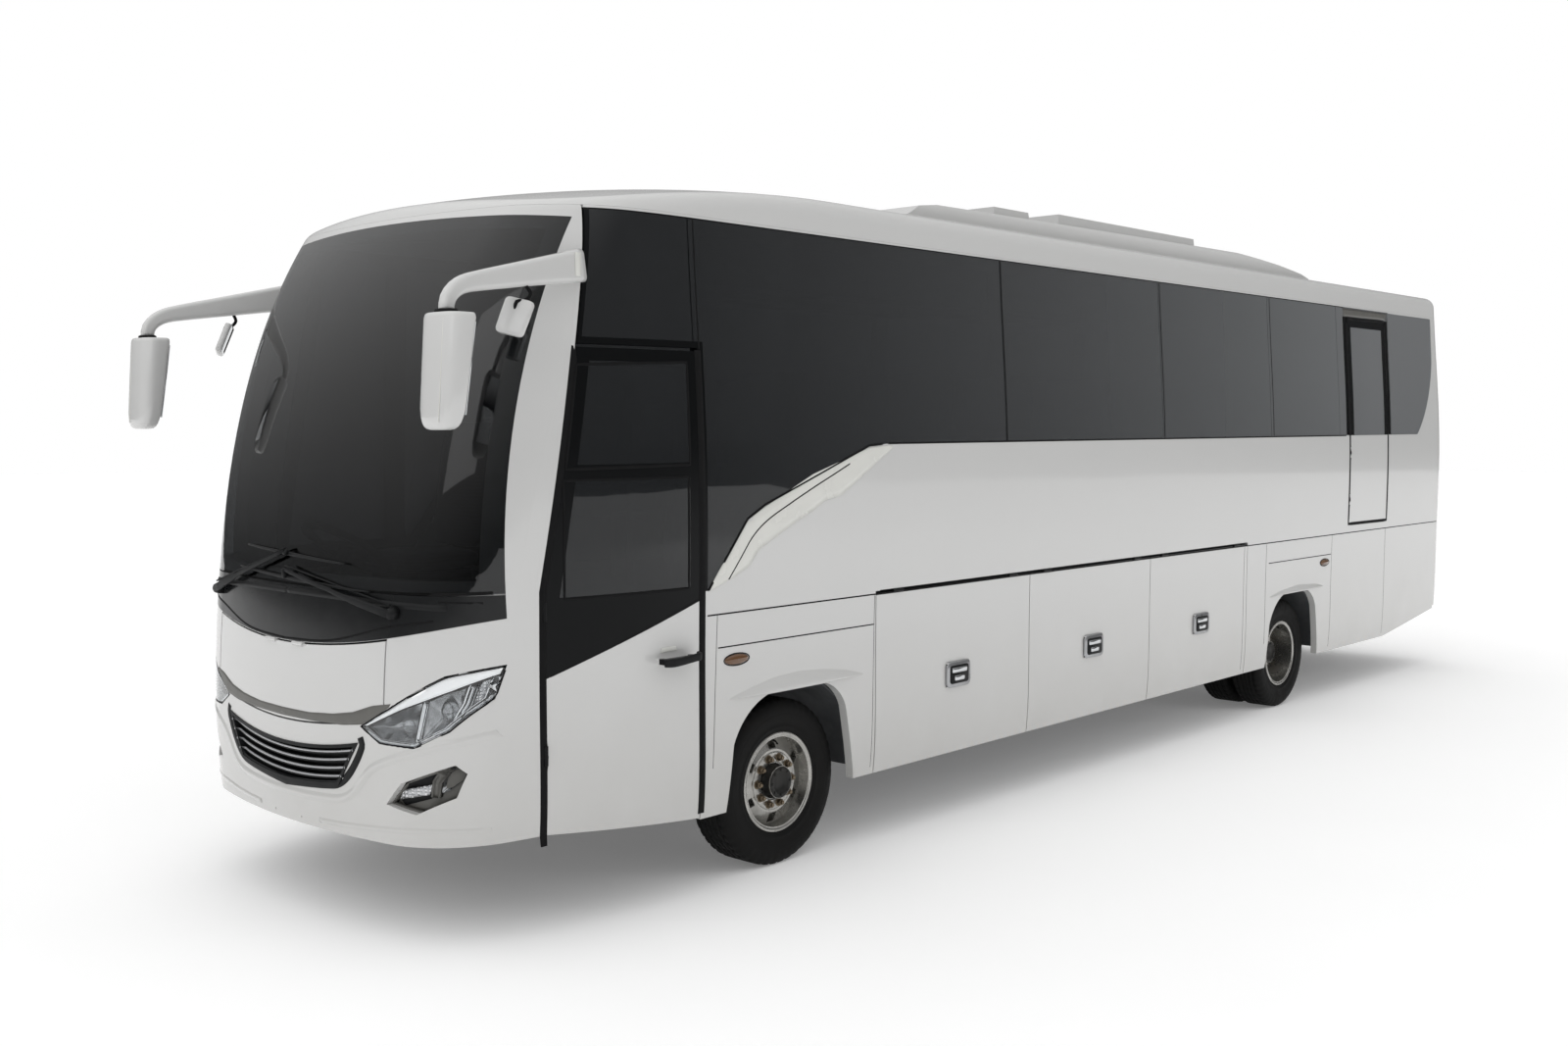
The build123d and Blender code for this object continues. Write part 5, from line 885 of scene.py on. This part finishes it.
def crescent(low, high, face, height, columns=40):
    """A lip that swells out of the panel to a crisp lower edge and dies away at both ends."""
    low, high = edges_of(low, high, columns)
    rise = np.array([0.0, 0.12, 0.38, 0.72, 1.0, 0.9, -0.15])
    share = np.array([1.0, 0.82, 0.6, 0.36, 0.1, 0.0, 0.02])[:, None, None]
    flat = low[None] * (1 - share) + high[None] * share
    fade = np.sin(np.linspace(0, math.pi, columns)) ** 0.5
    points = on_skin(flat, face, height * rise[:, None] * fade[None, :] - 0.5)
    return points.reshape(-1, 3), grid_faces(len(rise), columns)


def side_seams():
    """Panel joints along both sides: dark lines a few millimetres wide."""
    lines = [([(-566, 1236), (8190, 1222)], 7), ([(-500, 1088), (573, 1087)], 6),
             ([(4949, 1083), (6005, 1080)], 6), ([(-505, 1234), (-532, 560)], 3),
             ([(579, 1230), (563, 380)], 3), ([(4567, 1222), (4560, 380)], 3),
             ([(4906, 1222), (4900, 520)], 3), ([(6017, 1223), (6012, 380)], 3),
             ([(7053, 1225), (7053, 372)], 3)]
    parts = [band(line, wide, 0.7, "left", 60) for line, wide in lines]
    pair("side_panel_joints", unite(parts), RUBBER_SEAL)
    dividers = [band([(y, 1976), (y, 2934)], 10, 0.8, "left", 60) for y in DIVIDERS]
    dividers.append(band([(-588, 2385), (-588, 2934)], 8, 0.8, "left", 60))
    dividers.append(band([(700, 1969), (6240, 1969)], 9, 0.9, "left", 80))
    pair("glass_joint_sealant", unite(dividers), RUBBER_SEAL)


def accents():
    """Cream blade under the swooping window line, with a dark pin line along it."""
    blade = patch(ACCENT_LOW, ACCENT_HIGH, "left", 3.0, 6, count=60)
    pair("accent_blades", blade, ACCENT)
    line = curve_through(PIN_LINE, 40)
    pair("accent_pin_lines", band(line, 7, 4.2, "left", 40), RUBBER_SEAL)
    swoop = [(-561, 1346), (-319, 1645), (-206, 1704), (534, 1960), (700, 1970)]
    pair("swoop_seals", band(swoop, 10, 4.0, "left", 40), RUBBER_SEAL)


def arch_lips():
    """Swelling lips over the wheel arches."""
    front = crescent([(-433, 850), (-300, 849), (-164, 846), (28, 846), (200, 847), (361, 849), (499, 850)],
                     [(-433, 857), (-300, 889), (-139, 918), (28, 927), (200, 915), (361, 892), (499, 854)],
                     "left", 20)
    rear = crescent([(4962, 838), (5126, 846), (5431, 846), (5749, 846), (5880, 850)],
                    [(4962, 842), (5124, 871), (5429, 897), (5748, 880), (5880, 854)], "left", 20)
    pair("arch_lips", unite([front, rear]), ENAMEL)


MARKERS = [(-384, 1026), (5893, 1026)]


def side_markers():
    """Amber side marker lamps, each a low oval dome in a rubber rim."""
    parts = []
    angle = np.linspace(0, 2 * math.pi, 28, endpoint=False)
    share = np.linspace(1, 0.02, 7)[:, None]
    for y, z in MARKERS:
        flat = np.stack([y + 76 * np.cos(angle)[None] * share, z + 24 * np.sin(angle)[None] * share], -1)
        out = 14 * np.sqrt(1 - share ** 2) + 0 * angle[None] - 0.5
        points = on_skin(flat, "left", out).reshape(-1, 3)
        parts.append((points, grid_faces(7, 28, close_columns=True)))
    pair("side_markers", unite(parts), AMBER_LENS)
    rims = [band([(y + 80 * math.cos(a), z + 27 * math.sin(a)) for a in np.linspace(0, 2 * math.pi, 29)],
                 5, 2.5, "left", 12, True) for y, z in MARKERS]
    pair("side_marker_rims", unite(rims), RUBBER_SEAL)


def entrance_details():
    """Wide rubber down both edges of the entrance door, its pane frames and its handle."""
    gaps = [band(line, wide, 1.4, "left", 60, sink=4) for line, wide in (
        ([(-1384, 372), (-1384, 1400), (-1218, 2378)], 30), ([(-597, 372), (-597, 2380)], 38))]
    mesh_piece("entrance_rubbers", *unite(gaps), RUBBER_SEAL)
    frames = [band(outline, 12, 2.0, "left", 40, True) for outline in (
        [(-1291, 1366), (-676, 1366), (-676, 1840), (-1291, 1840), (-1291, 1366)],
        [(-1280, 1885), (-666, 1893), (-664, 2326), (-1215, 2304), (-1280, 1885)])]
    mesh_piece("entrance_pane_seals", *unite(frames), RUBBER_SEAL, "entrance_door")
    sweep = band([(-1350, 1058), (-618, 1312)], 6, 0.8, "left", 60)
    mesh_piece("entrance_film_edge", *sweep, RUBBER_SEAL, "entrance_door")
    y0, y1, z = -860, -668, 1074
    skin = float(drop([((y0 + y1) / 2, z)], "left")[0])
    line = curve_through([
        (skin + 4, y0, z - 6), (skin + 30, y0 + 14, z - 5), (skin + 36, y0 + 50, z - 3),
        (skin + 36, y1 - 50, z + 5), (skin + 30, y1 - 14, z + 7), (skin + 4, y1, z + 8)], 30)
    grip = carried(line, rounded(16, 34, 7))
    mesh_piece("entrance_handle", *grip, BLACK_PLASTIC, "entrance_door")
    plate = patch([(-834, 1104), (-746, 1106)], [(-828, 1124), (-752, 1126)], "left", 4.0, 4)
    mesh_piece("entrance_lock_plate", *plate, ACCENT, "entrance_door")


def exit_details():
    """Rubber round the emergency door and over it."""
    outer = [(6312, 1292), (7066, 1288), (7062, 2868), (6312, 2860), (6312, 1292)]
    mesh_piece("exit_rubber", *band(outer, 24, 1.8, "left", 60, True, sink=4), RUBBER_SEAL)
    head = patch([(6280, 2872), (7100, 2884)], [(6262, 2934), (7122, 2934)], "left", 1.0, 4)
    mesh_piece("exit_head_panel", *head, GREY_PLASTIC)


LATCH_Y = (1265, 2610, 3945)
LATCH_Z = 760


def latch_parts(y):
    """Bezel, well and paddles of one catch, on the raised plate of the flap."""
    z = LATCH_Z
    bezel = carried([(1172, y, z), (1184, y, z), (1188, y, z)],
                    np.stack([rounded(204 - w, 134 - w, 26) for w in (0, 0, 8)]))
    well = carried([(1184, y, z), (1189, y, z)], rounded(164, 96, 18))
    paddles = [carried([(1186, y, z + up), (1192, y, z + up), (1194, y, z + up)],
                       np.stack([rounded(wide - w, 26 - w, 7) for w in (0, 0, 5)]))
               for up, wide in ((22, 128), (-20, 84))]
    return ("frame", bezel, SATIN_SILVER), ("cup", well, BLACK_PLASTIC), ("paddle", unite(paddles), CHROME)


def flap_latches():
    """Paddle latches in rounded metal bezels, one on each luggage flap."""
    for index, y in enumerate(LATCH_Y):
        for side, sign in (("left", 1), ("right", -1)):
            for tag, part, finish in latch_parts(y):
                mesh_piece("latch_%s_luggage_flap_%s_%d" % (tag, side, index + 1), *mirrored(part, sign),
                           finish, "flap_%s_%d" % (side, index + 1))


side_seams()
accents()
arch_lips()
side_markers()
entrance_details()
exit_details()
flap_latches()


# Wheels and tyres

WHEEL_X = 970.0
AXLE_Z = 391.5
TWIN = 256.0     # from the outer to the inner tyre of a pair
REAR_Y = 5380.0
NUTS = 10
BEAD = 83.0      # half the width at the rim; the wall outside it swells to the tyre's belly
TREAD = [(88, 388), (82, 391), (66, 391.3), (64.5, 383), (57.5, 383), (56, 391.4), (34, 391.4), (32.5, 383),
         (25.5, 383), (24, 391.4), (4.5, 391.4), (3, 384)]
WALL_SIDE = [(83, 222.9), (90, 229.9), (97.4, 237), (101, 243), (103.5, 254), (106.5, 258), (107, 264),
             (105.5, 268), (109.5, 286), (112.6, 316), (112.8, 320), (111.8, 324), (112.4, 328), (111, 345),
             (107, 362), (105.6, 364), (101, 374), (95, 382)]


def tyre_shape(centre_x, axle_y, side, belly=113.0):
    """A tyre with ringed walls, four grooves round the tread and notched shoulders."""
    half = np.array(WALL_SIDE + TREAD, float)
    wide = half[:, 0] > BEAD
    half[wide, 0] = BEAD + (half[wide, 0] - BEAD) * (belly - BEAD) / 30
    profile = np.concatenate([half, half[::-1] * [-1, 1]])
    count = 192
    turn = np.linspace(0, 2 * math.pi, count, endpoint=False)[:, None]
    across, radius = profile[None, :, 0], profile[None, :, 1]
    out = np.abs(across)
    step = np.arange(count)[:, None]
    notch = step % 4 == 0
    sipe = (step + (across > 0)) % 6 == 0
    upper = (out > 105 * belly / 113) & (radius > 330) & notch
    along = across - np.sign(across) * np.where(upper, 1.6, 0.0)
    radius = (radius - np.where((out > 60) & (radius > 380) & notch, 6.5, 0.0)
              - np.where((out < 56) & (radius > 390) & sipe, 4.0, 0.0))
    points = np.stack([centre_x + along * side, axle_y + np.sin(turn) * radius,
                       AXLE_Z + np.cos(turn) * radius], -1).reshape(-1, 3)
    return points, outward(points, grid_faces(count, len(profile), True, True))


def wheel_dress(centre, side, face, hub, name, body):
    """Rim lip and disc rings, wheel nuts on their circle, black hub with its flange bolts, and a
    valve. The outboard faces of disc, rim and hub lie at face[0], face[1] and hub from the centre."""
    disc, rim = face

    def put(tag, part, finish, shade=True):
        place = np.asarray(part[0]) * [side, 1, 1] + centre
        mesh_piece(name + tag, place, outward(place, part[1]), finish, body, shade=shade)

    def circle(count, radius, start):
        angles = [2 * math.pi * (n + start) / count for n in range(count)]
        return [(0, math.sin(turn) * radius, math.cos(turn) * radius) for turn in angles]

    def lathe(base, profile, *rest, **more):
        return turned([(base + along, radius) for along, radius in profile], *rest, **more)

    hub_seat = (0, 0, 0)
    put("_rings", unite([
        lathe(rim, [(-2, 214), (-2, 232), (1.5, 236), (4.5, 234), (4, 226), (1, 218)],
              hub_seat, 96, closed=True),
        lathe(disc, [(-1, 86), (-1, 139), (2.5, 136), (3.5, 132), (3.5, 92), (2.5, 88)],
              hub_seat, 72, closed=True)]), WHEEL_STEEL)
    nuts = []
    for at in circle(NUTS, 112, 0.5):
        nuts.append(lathe(disc, [(2, 0), (2, 21), (5, 21), (6, 17), (6, 0)], at, 20))
        nuts.append(lathe(disc, [(5, 0), (5, 15.5), (23, 15.5), (26, 13), (26, 9.5), (33, 9.5), (34, 8.5),
                                 (34, 0)], at, 6))
    put("_nuts", unite(nuts), NUT_STEEL, False)
    cap = [(disc + 1, 0), (disc + 1, 84), (disc + 9, 82), (disc + 12, 78.5), (hub - 8, 77.5),
           (hub + 1, 74), (hub + 4, 66), (hub + 4, 50), (hub + 1, 48), (hub + 1, 0)]
    bolts = [lathe(hub, [(3, 0), (3, 6.5), (8, 6.5), (8.5, 5), (8.5, 0)], at, 6) for at in circle(8, 60, 0)]
    put("_hub", unite([turned(cap, hub_seat, 48), *bolts]), HUB_IRON)
    stem = curve_through([(rim - 46, 0, 196), (rim - 20, 0, 190), (rim - 4, 0, 178)], 10)
    put("_valve", carried(stem, ring(4.2, 10), up=(0, 1, 0)), RUBBER_SEAL)


def wheels():
    """The four wheels' tyres and their dress; the tyres replace the plain ones."""
    for side, tag in ((1, "left"), (-1, "right")):
        x, front_body, rear_body = side * WHEEL_X, "wheel_f" + tag[0], "wheels_r" + tag[0]
        front = mesh_piece("front_tyre_" + tag, *tyre_shape(x, 0.0, side), TYRE, front_body, "tyre_rubber")
        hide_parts("tyre_front_" + tag)
        twins = unite([tyre_shape(x, REAR_Y, side), tyre_shape(side * (WHEEL_X - TWIN), REAR_Y, side, 106.0)])
        rear = mesh_piece("rear_tyres_" + tag, *twins, TYRE, rear_body, "tyre_rubber")
        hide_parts("tyres_rear_" + tag)
        wheel_dress((x, 0.0, AXLE_Z), side, (63.0, 97.0), 112.0, "front_wheel_" + tag, front_body)
        wheel_dress((x, REAR_Y, AXLE_Z), side, (-114.0, 97.0), 27.0, "rear_wheel_" + tag, rear_body)


wheels()


# Seats: crowned cushions on plastic shells and steel legs

DECK = 1250.3
CAB_DECK = 1000.3
BACK_LEAN = 79.9
ROW_PITCH = 760.0


def signed_power(value, power):
    """A power that keeps the sign, for squared-off rounds."""
    return np.sign(value) * np.abs(value) ** power


def cushion(centre, half, lean=0.0, crown=0.24, columns=32, rows=15):
    """A stuffed pad: crowned on its face, its sides pulled in between the corners, its foot flat.
    half is (across, along, thickness); lean turns it back from lying to standing, in degrees."""
    u = np.linspace(-math.pi, math.pi, columns, endpoint=False)[None]
    v = np.linspace(-math.pi / 2, math.pi / 2, rows)[:, None]
    x = signed_power(np.cos(v), 0.42) * signed_power(np.cos(u), 0.42)
    y = signed_power(np.cos(v), 0.42) * signed_power(np.sin(u), 0.42)
    z = signed_power(np.sin(v), 0.5) + 0 * u
    x, y = x * (0.955 + 0.045 * y * y), y * (0.965 + 0.035 * x * x)
    z = np.where(z > 0, z * (1 - crown + crown * (1 - 0.5 * (x * x + y * y))), z)
    for line in (-0.5, 0.5):
        z = np.where(z > 0.3, z - 0.09 * np.exp(-((x - line) / 0.07) ** 2), z)
    points = np.stack([x * half[0], y * half[1], z * half[2]], -1).reshape(-1, 3)
    a = math.radians(lean)
    turn = np.array([[1, 0, 0], [0, math.cos(a), -math.sin(a)], [0, math.sin(a), math.cos(a)]])
    points = points @ turn.T + np.asarray(centre, float)
    return points, outward(points, grid_faces(rows, columns, close_columns=True))


def slab(low, high, radius=8.0):
    """A box with rounded upright corners between two opposite points."""
    low, high = np.asarray(low, float), np.asarray(high, float)
    size = high - low
    middle = (low + high) / 2
    path = [[middle[0], middle[1], z] for z in (low[2], high[2])]
    corner = min(radius, size[0] / 2.1, size[1] / 2.1)
    return carried(path, rounded(size[0], size[1], corner, 3), up=(0, 1, 0))


def place_set(x, front, floor, half, pads, shells, depth=640.0):
    """One seat place: base pad, back pad and the shell behind it, inside the CAD seat."""
    pads.append(cushion((x, front + 0.375 * depth, floor + 398), (half - 6, 0.36 * depth, 52)))
    pads.append(cushion((x, front + 0.83 * depth - 8, floor + 760), (half - 6, 335, 46), BACK_LEAN, 0.3))
    foot = front + 0.893 * depth
    back = [(x, foot + along, floor + up) for along, up in ((-20, 340), (0, 480), (52, 1075))]
    sections = np.stack([rounded(2 * half - w, 26, 11, 4) for w in (30, 16, 34)])
    shells.append(carried(back, sections, up=(0, 1, 0)))


def passenger_seats():
    """Double seats either side of the aisle, two rows fewer on the side of the emergency door,
    and a bench of five across the tail."""
    pads, shells, legs = [], [], []
    blocks = [(20.0 + ROW_PITCH * row, side) for row in range(10) for side in (-1, 1) if side < 0 or row < 8]
    for front, side in blocks:
        for x in (442.5, 867.5):
            place_set(side * x, front, DECK, 212.0, pads, shells)
        for x in (300, 700, 1010):
            low = sorted((side * (x - 17), side * (x + 17)))
            legs.append(slab((low[0], front + 150, DECK), (low[1], front + 190, DECK + 345)))
            legs.append(slab((low[0], front + 150, DECK), (low[1], front + 380, DECK + 9)))
        xs = sorted((side * 235, side * 1075))
        legs.append(slab((xs[0], front + 140, DECK + 318), (xs[1], front + 400, DECK + 344)))
        arm = [(side * 240, front + 470, DECK + 600), (side * 240, front + 300, DECK + 615),
               (side * 240, front + 190, DECK + 600)]
        legs.append(carried(curve_through(arm, 8), rounded(20, 26, 8, 3)))
    for n in range(5):
        place_set(-864.0 + 432.0 * n, 7600.0, DECK, 214.0, pads, shells)
    legs.append(slab((-1070, 7715, DECK), (1070, 8000, DECK + 344)))
    seats = mesh_piece("passenger_seat_pads", *unite(pads), CLOTH, slot="seat_fabric")
    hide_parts("passenger_seats")
    mesh_piece("passenger_seat_shells", *unite(shells), BLACK_PLASTIC)
    mesh_piece("passenger_seat_legs", *unite(legs), CHASSIS_PAINT)


def driver_seat():
    """The driver's seat on its bellows."""
    pads, shells = [], []
    place_set(-640.0, -1010.0, CAB_DECK, 240.0, pads, shells, 608.0)
    seat = mesh_piece("driver_seat_pads", *unite(pads), CLOTH, slot="seat_fabric")
    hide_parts("driver_seat")
    shells.append(slab((-800, -905, CAB_DECK), (-480, -640, CAB_DECK + 60)))
    for n in range(6):
        inset = 14 if n % 2 else 0
        shells.append(slab((-790 + inset, -895 + inset, CAB_DECK + 60 + 40 * n),
                           (-490 - inset, -650 - inset, CAB_DECK + 100 + 40 * n)))
    shells.append(slab((-830, -960, CAB_DECK + 300), (-450, -620, CAB_DECK + 342)))
    mesh_piece("driver_seat_base", *unite(shells), BLACK_PLASTIC)


passenger_seats()
driver_seat()


# Wipers and mirrors

def wipers():
    """Two arms on their spindles, each with a hinged blade, its carrier and its rubber."""
    parts = []
    blades = []
    for side, end, ends in ((1, (8, 1462), ((-430, 1446), (560, 1400))),
                            (-1, (-6, 1535), ((-371, 1544), (408, 1504)))):
        root = (side * 700.0, 1325.0)
        seat = on_skin([root], "front")[0]
        parts.append(turned([(-38, 0), (-38, 12), (-33, 19), (-18, 25), (4, 27), (4, 0)], seat, 24, axis=1))
        share = np.linspace(0, 1, 14)[:, None]
        flat = np.array(root) * (1 - share) + np.array(end) * share
        path = on_skin(flat, "front", 30 + 4 * share[:, 0])
        wide = np.interp(share[:, 0], [0, 0.06, 0.3, 0.34, 1], [36, 34, 30, 20, 14])
        thick = np.interp(share[:, 0], [0, 0.3, 0.34, 1], [17, 16, 10, 7])
        parts.append(carried(path, np.stack([rounded(w, t, t * 0.3, 3) for w, t in zip(wide, thick)]),
                             up=(0, -1, 0)))
        share = np.linspace(0, 1, 26)[:, None]
        flat = np.array(ends[0], float) * (1 - share) + np.array(ends[1], float) * share
        wide = np.interp(share[:, 0], [0, 0.5, 1], [8, 17, 8])
        spine = on_skin(flat, "front", 15.0)
        parts.append(carried(spine, np.stack([rounded(w, 9, 3, 3) for w in wide]), up=(0, -1, 0)))
        middle = flat[np.argmin(np.abs(flat[:, 0] - end[0]))]
        joint = on_skin([end, middle], "front", [30, 20])
        parts.append(carried([joint[0], joint.mean(0), joint[1]], rounded(24, 20, 5, 3), up=(1, 0, 0)))
        rod = on_skin(np.array([root, end], float) + [[0, 34], [0, 14]], "front", [26, 27])
        parts.append(carried(rod, ring(4, 8), up=(0, -1, 0)))
        blades.append(carried(on_skin(flat, "front", 7.5), rounded(5, 12, 2, 2), up=(0, -1, 0)))
    piece = mesh_piece("wiper_arms", *unite(parts), BLACK_PLASTIC, slot="black_trim")
    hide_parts("wipers")
    mesh_piece("wiper_rubbers", *unite(blades), RUBBER_SEAL)


def head_shift(z):
    """How far aft the mirror head leans at that height."""
    return np.interp(z, [2045, 2470], [-22, 24])


def head_depth(z):
    """How deep the mirror head is at that height, as a share of its depth at the top."""
    return np.interp(z, [2045, 2470], [0.74, 1.0])


MIRROR_X = 1195.0
MIRROR_Y = -1916.0


def mirror_parts():
    """The left mirror as lists of shapes by finish."""
    root, head = np.array([1082.0, -1180.0]), np.array([1195.0, -1903.0])
    way = (head - root) / np.linalg.norm(head - root)
    line = curve_through([(0, 2700, 135), (200, 2665, 112), (400, 2628, 92), (560, 2598, 77), (640, 2580, 69),
                          (690, 2556, 63), (722, 2522, 60), (731, 2490, 58), (731, 2474, 58)], 34)
    path = np.concatenate([root + line[:, :1] * way, line[:, 1:2]], -1)
    across = (way[1], -way[0], 0.0)
    depth = np.interp(line[:, 0], [0, 640, 731], [55, 50, 46])
    sections = np.stack([rounded(h, d, min(h, d) * 0.42, 6) for h, d in zip(line[:, 2], depth)])
    arm = carried(path, sections, up=across)

    levels = [(2470, 0.84), (2468, 0.92), (2462, 0.97), (2450, 1.0), (2300, 0.985), (2180, 0.965),
              (2120, 0.95), (2092, 0.91), (2072, 0.84), (2058, 0.74), (2049, 0.6), (2045, 0.4)]
    around = 48
    u = np.linspace(0, 2 * math.pi, around, endpoint=False)
    sine = np.sin(u)
    plan_x = 107.5 * signed_power(np.cos(u), 0.55)
    plan_y = np.where(sine > 0, 62.5 * signed_power(sine, 0.3), 62.5 * signed_power(sine, 0.8))
    plan_y = np.where(sine < 0, plan_y * (1 - 0.05 * np.abs(np.cos(u))), plan_y)
    rows = []
    for z, size in levels:
        x_size = size if z > 2092 else size * 0.97
        y_size = size if z > 2100 else size ** 0.8
        rows.append(np.stack([MIRROR_X + plan_x * x_size,
                              MIRROR_Y + head_shift(z) + plan_y * y_size * head_depth(z),
                              np.full(around, z)], -1))
    pill = np.concatenate(rows)
    pill = (pill, outward(pill, bar_faces(len(levels), around)))

    collar = np.concatenate([np.stack([MIRROR_X + 56 * wide * np.cos(u), head[1] + 35 * deep * np.sin(u),
                                       np.full(around, z)], -1)
                             for z, wide, deep in ((2466, 1, 1), (2479, 1, 1), (2483, 0.8, 0.85))])
    collar = (collar, outward(collar, bar_faces(3, around)))

    # A thin tube along the head's upright crease, finished in the lighter cream: a painted highlight where
    # the crease catches the light.
    z = np.linspace(2448, 2075, 12)
    crease = np.stack([MIRROR_X + 52.0 * np.interp(z, [2060, 2140], [0.9, 1]), MIRROR_Y + head_shift(z)
                       - 59.3 * head_depth(z) * np.interp(z, [2060, 2120], [0.93, 0.98]), z], -1)
    crease_highlight = carried(crease, ring(2.0, 6), up=(0, 1, 0))
    z = np.array([2436.0, 2300, 2100])
    face_line = np.stack([np.full(3, MIRROR_X), MIRROR_Y + head_shift(z) + 60.5 * head_depth(z), z], -1)
    glass_part = carried(face_line, rounded(176, 4, 1.6, 3), up=(0, 1, 0))

    middle = np.array([1138.5, -1552.0])
    face = (0.53, -0.848, 0.0)
    z = np.array([2541, 2538, 2530, 2474, 2420, 2411, 2407.0])
    size = np.array([0.78, 0.92, 1, 1, 0.98, 0.9, 0.76])
    path = np.stack([np.full(7, middle[0]), middle[1] + (z - 2474) * 0.45, z], -1)
    kerb = carried(path, np.stack([rounded(118 * s, 30 * s, 12, 4) for s in size]), up=face)
    back = path[1:6] - np.array(face) * 15.2
    kerb_glass = carried(back, rounded(98, 2.4, 1, 2), up=face)
    wire = curve_through([(1141, -1500, 2596), (1150, -1484, 2566), (1152, -1508, 2540), (1142, -1545, 2532),
                          (1138, -1550, 2500)], 14)
    stalk = carried(wire, ring(7.5, 12), up=(1, 0, 0))
    cap_at = np.append(root + way * 46, 0) + np.array(across) * -29.5
    cap = carried([cap_at + [0, 0, z] for z in (2652, 2654, 2744, 2746)],
                  np.stack([rounded(w, 7, 2, 2) for w in (28, 32, 32, 28)]), up=across)
    return {"enamel": [arm, pill, kerb], "black": [collar, stalk], "crease_highlight": [crease_highlight],
            "glass": [glass_part, kerb_glass], "cap": [cap]}


def mirrors():
    """Both mirrors; the enamel parts replace the plain ones."""
    for side, tag in ((1, "left"), (-1, "right")):
        # The crease tube's cream finish is a painted highlight.
        for key, finish in (("enamel", ENAMEL), ("black", RUBBER_SEAL), ("crease_highlight", ACCENT), ("glass", MIRROR),
                            ("cap", ACCENT)):
            part = mirrored(unite(mirror_parts()[key]), side)
            piece = mesh_piece("mirror_%s_%s" % (key, tag), *part, finish)
            if key == "enamel":
                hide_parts("mirror_" + tag)


wipers()
mirrors()


# Rear and rails

def rear_details():
    """Lamp lenses in their frames, the boot handle, a blank plate and the seal round the rear window."""
    frames, red, amber, clear = [], [], [], []
    for side in (1, -1):
        xs = sorted((side * 866, side * 1004))
        corners = [(xs[0] - 3, 823), (xs[1] + 3, 823), (xs[1] + 3, 1377), (xs[0] - 3, 1377), (xs[0] - 3, 823)]
        frames.append(band(corners, 9, 2.0, "rear", 24, True, sink=1.5))
        for z in (1006, 1186):
            frames.append(band([(xs[0], z), (xs[1], z)], 8, 2.4, "rear", 24, sink=1.0))
        for group, low, high in ((red, 1192, 1370), (amber, 1012, 1180), (clear, 830, 1000)):
            group.append(patch([(xs[0] + 4, low), (xs[1] - 4, low)], [(xs[0] + 4, high), (xs[1] - 4, high)],
                               "rear", 1.2, 6, 8))
    mesh_piece("tail_lamp_frames", *unite(frames), BLACK_PLASTIC)
    mesh_piece("tail_lamp_red", *unite(red), RED_LENS)
    mesh_piece("tail_lamp_amber", *unite(amber), AMBER_LENS)
    mesh_piece("tail_lamp_clear", *unite(clear), INDICATOR)
    grip = patch([(-190, 830), (190, 830)], [(-180, 872), (180, 872)], "rear", 1.6, 4)
    mesh_piece("boot_handle_cup", *grip, BLACK_PLASTIC, "boot")
    plate = patch([(-260, 900), (260, 900)], [(-260, 1012), (260, 1012)], "rear", 2.5, 4)
    mesh_piece("rear_blank_plate", *plate, SATIN_SILVER, "boot")
    frame_line = [(-930, 2010), (930, 2010), (930, 2866), (-930, 2866), (-930, 2010)]
    mesh_piece("rear_window_seal", *band(frame_line, 16, 2.0, "rear", 60, True), RUBBER_SEAL)


def rails():
    """Grab rails by the entrance and ceiling rails over the aisle, on short hangers."""
    parts = []
    for x in (330, -330):
        line = [(x, y, 2755) for y in np.arange(300, 7400, 236.0)]
        parts.append(carried(line, ring(15, 12)))
        for y in np.arange(400, 7300, 1136.0):
            parts.append(carried([(x, y, 2750), (x, y, 2800), (x, y, 2890)], ring(8, 8), up=(0, 1, 0)))
    for x, y in ((420, -360), (700, -360)):
        post = [(x, y + 20, z) for z in (1252, 1700, 2150)]
        parts.append(carried(post, ring(15, 12), up=(0, 1, 0)))
    parts.append(carried([(420, -340, 2140), (560, -340, 2150), (700, -340, 2140)], ring(15, 12)))
    mesh_piece("grab_rails", *unite(parts), SATIN_SILVER)


rear_details()
rails()
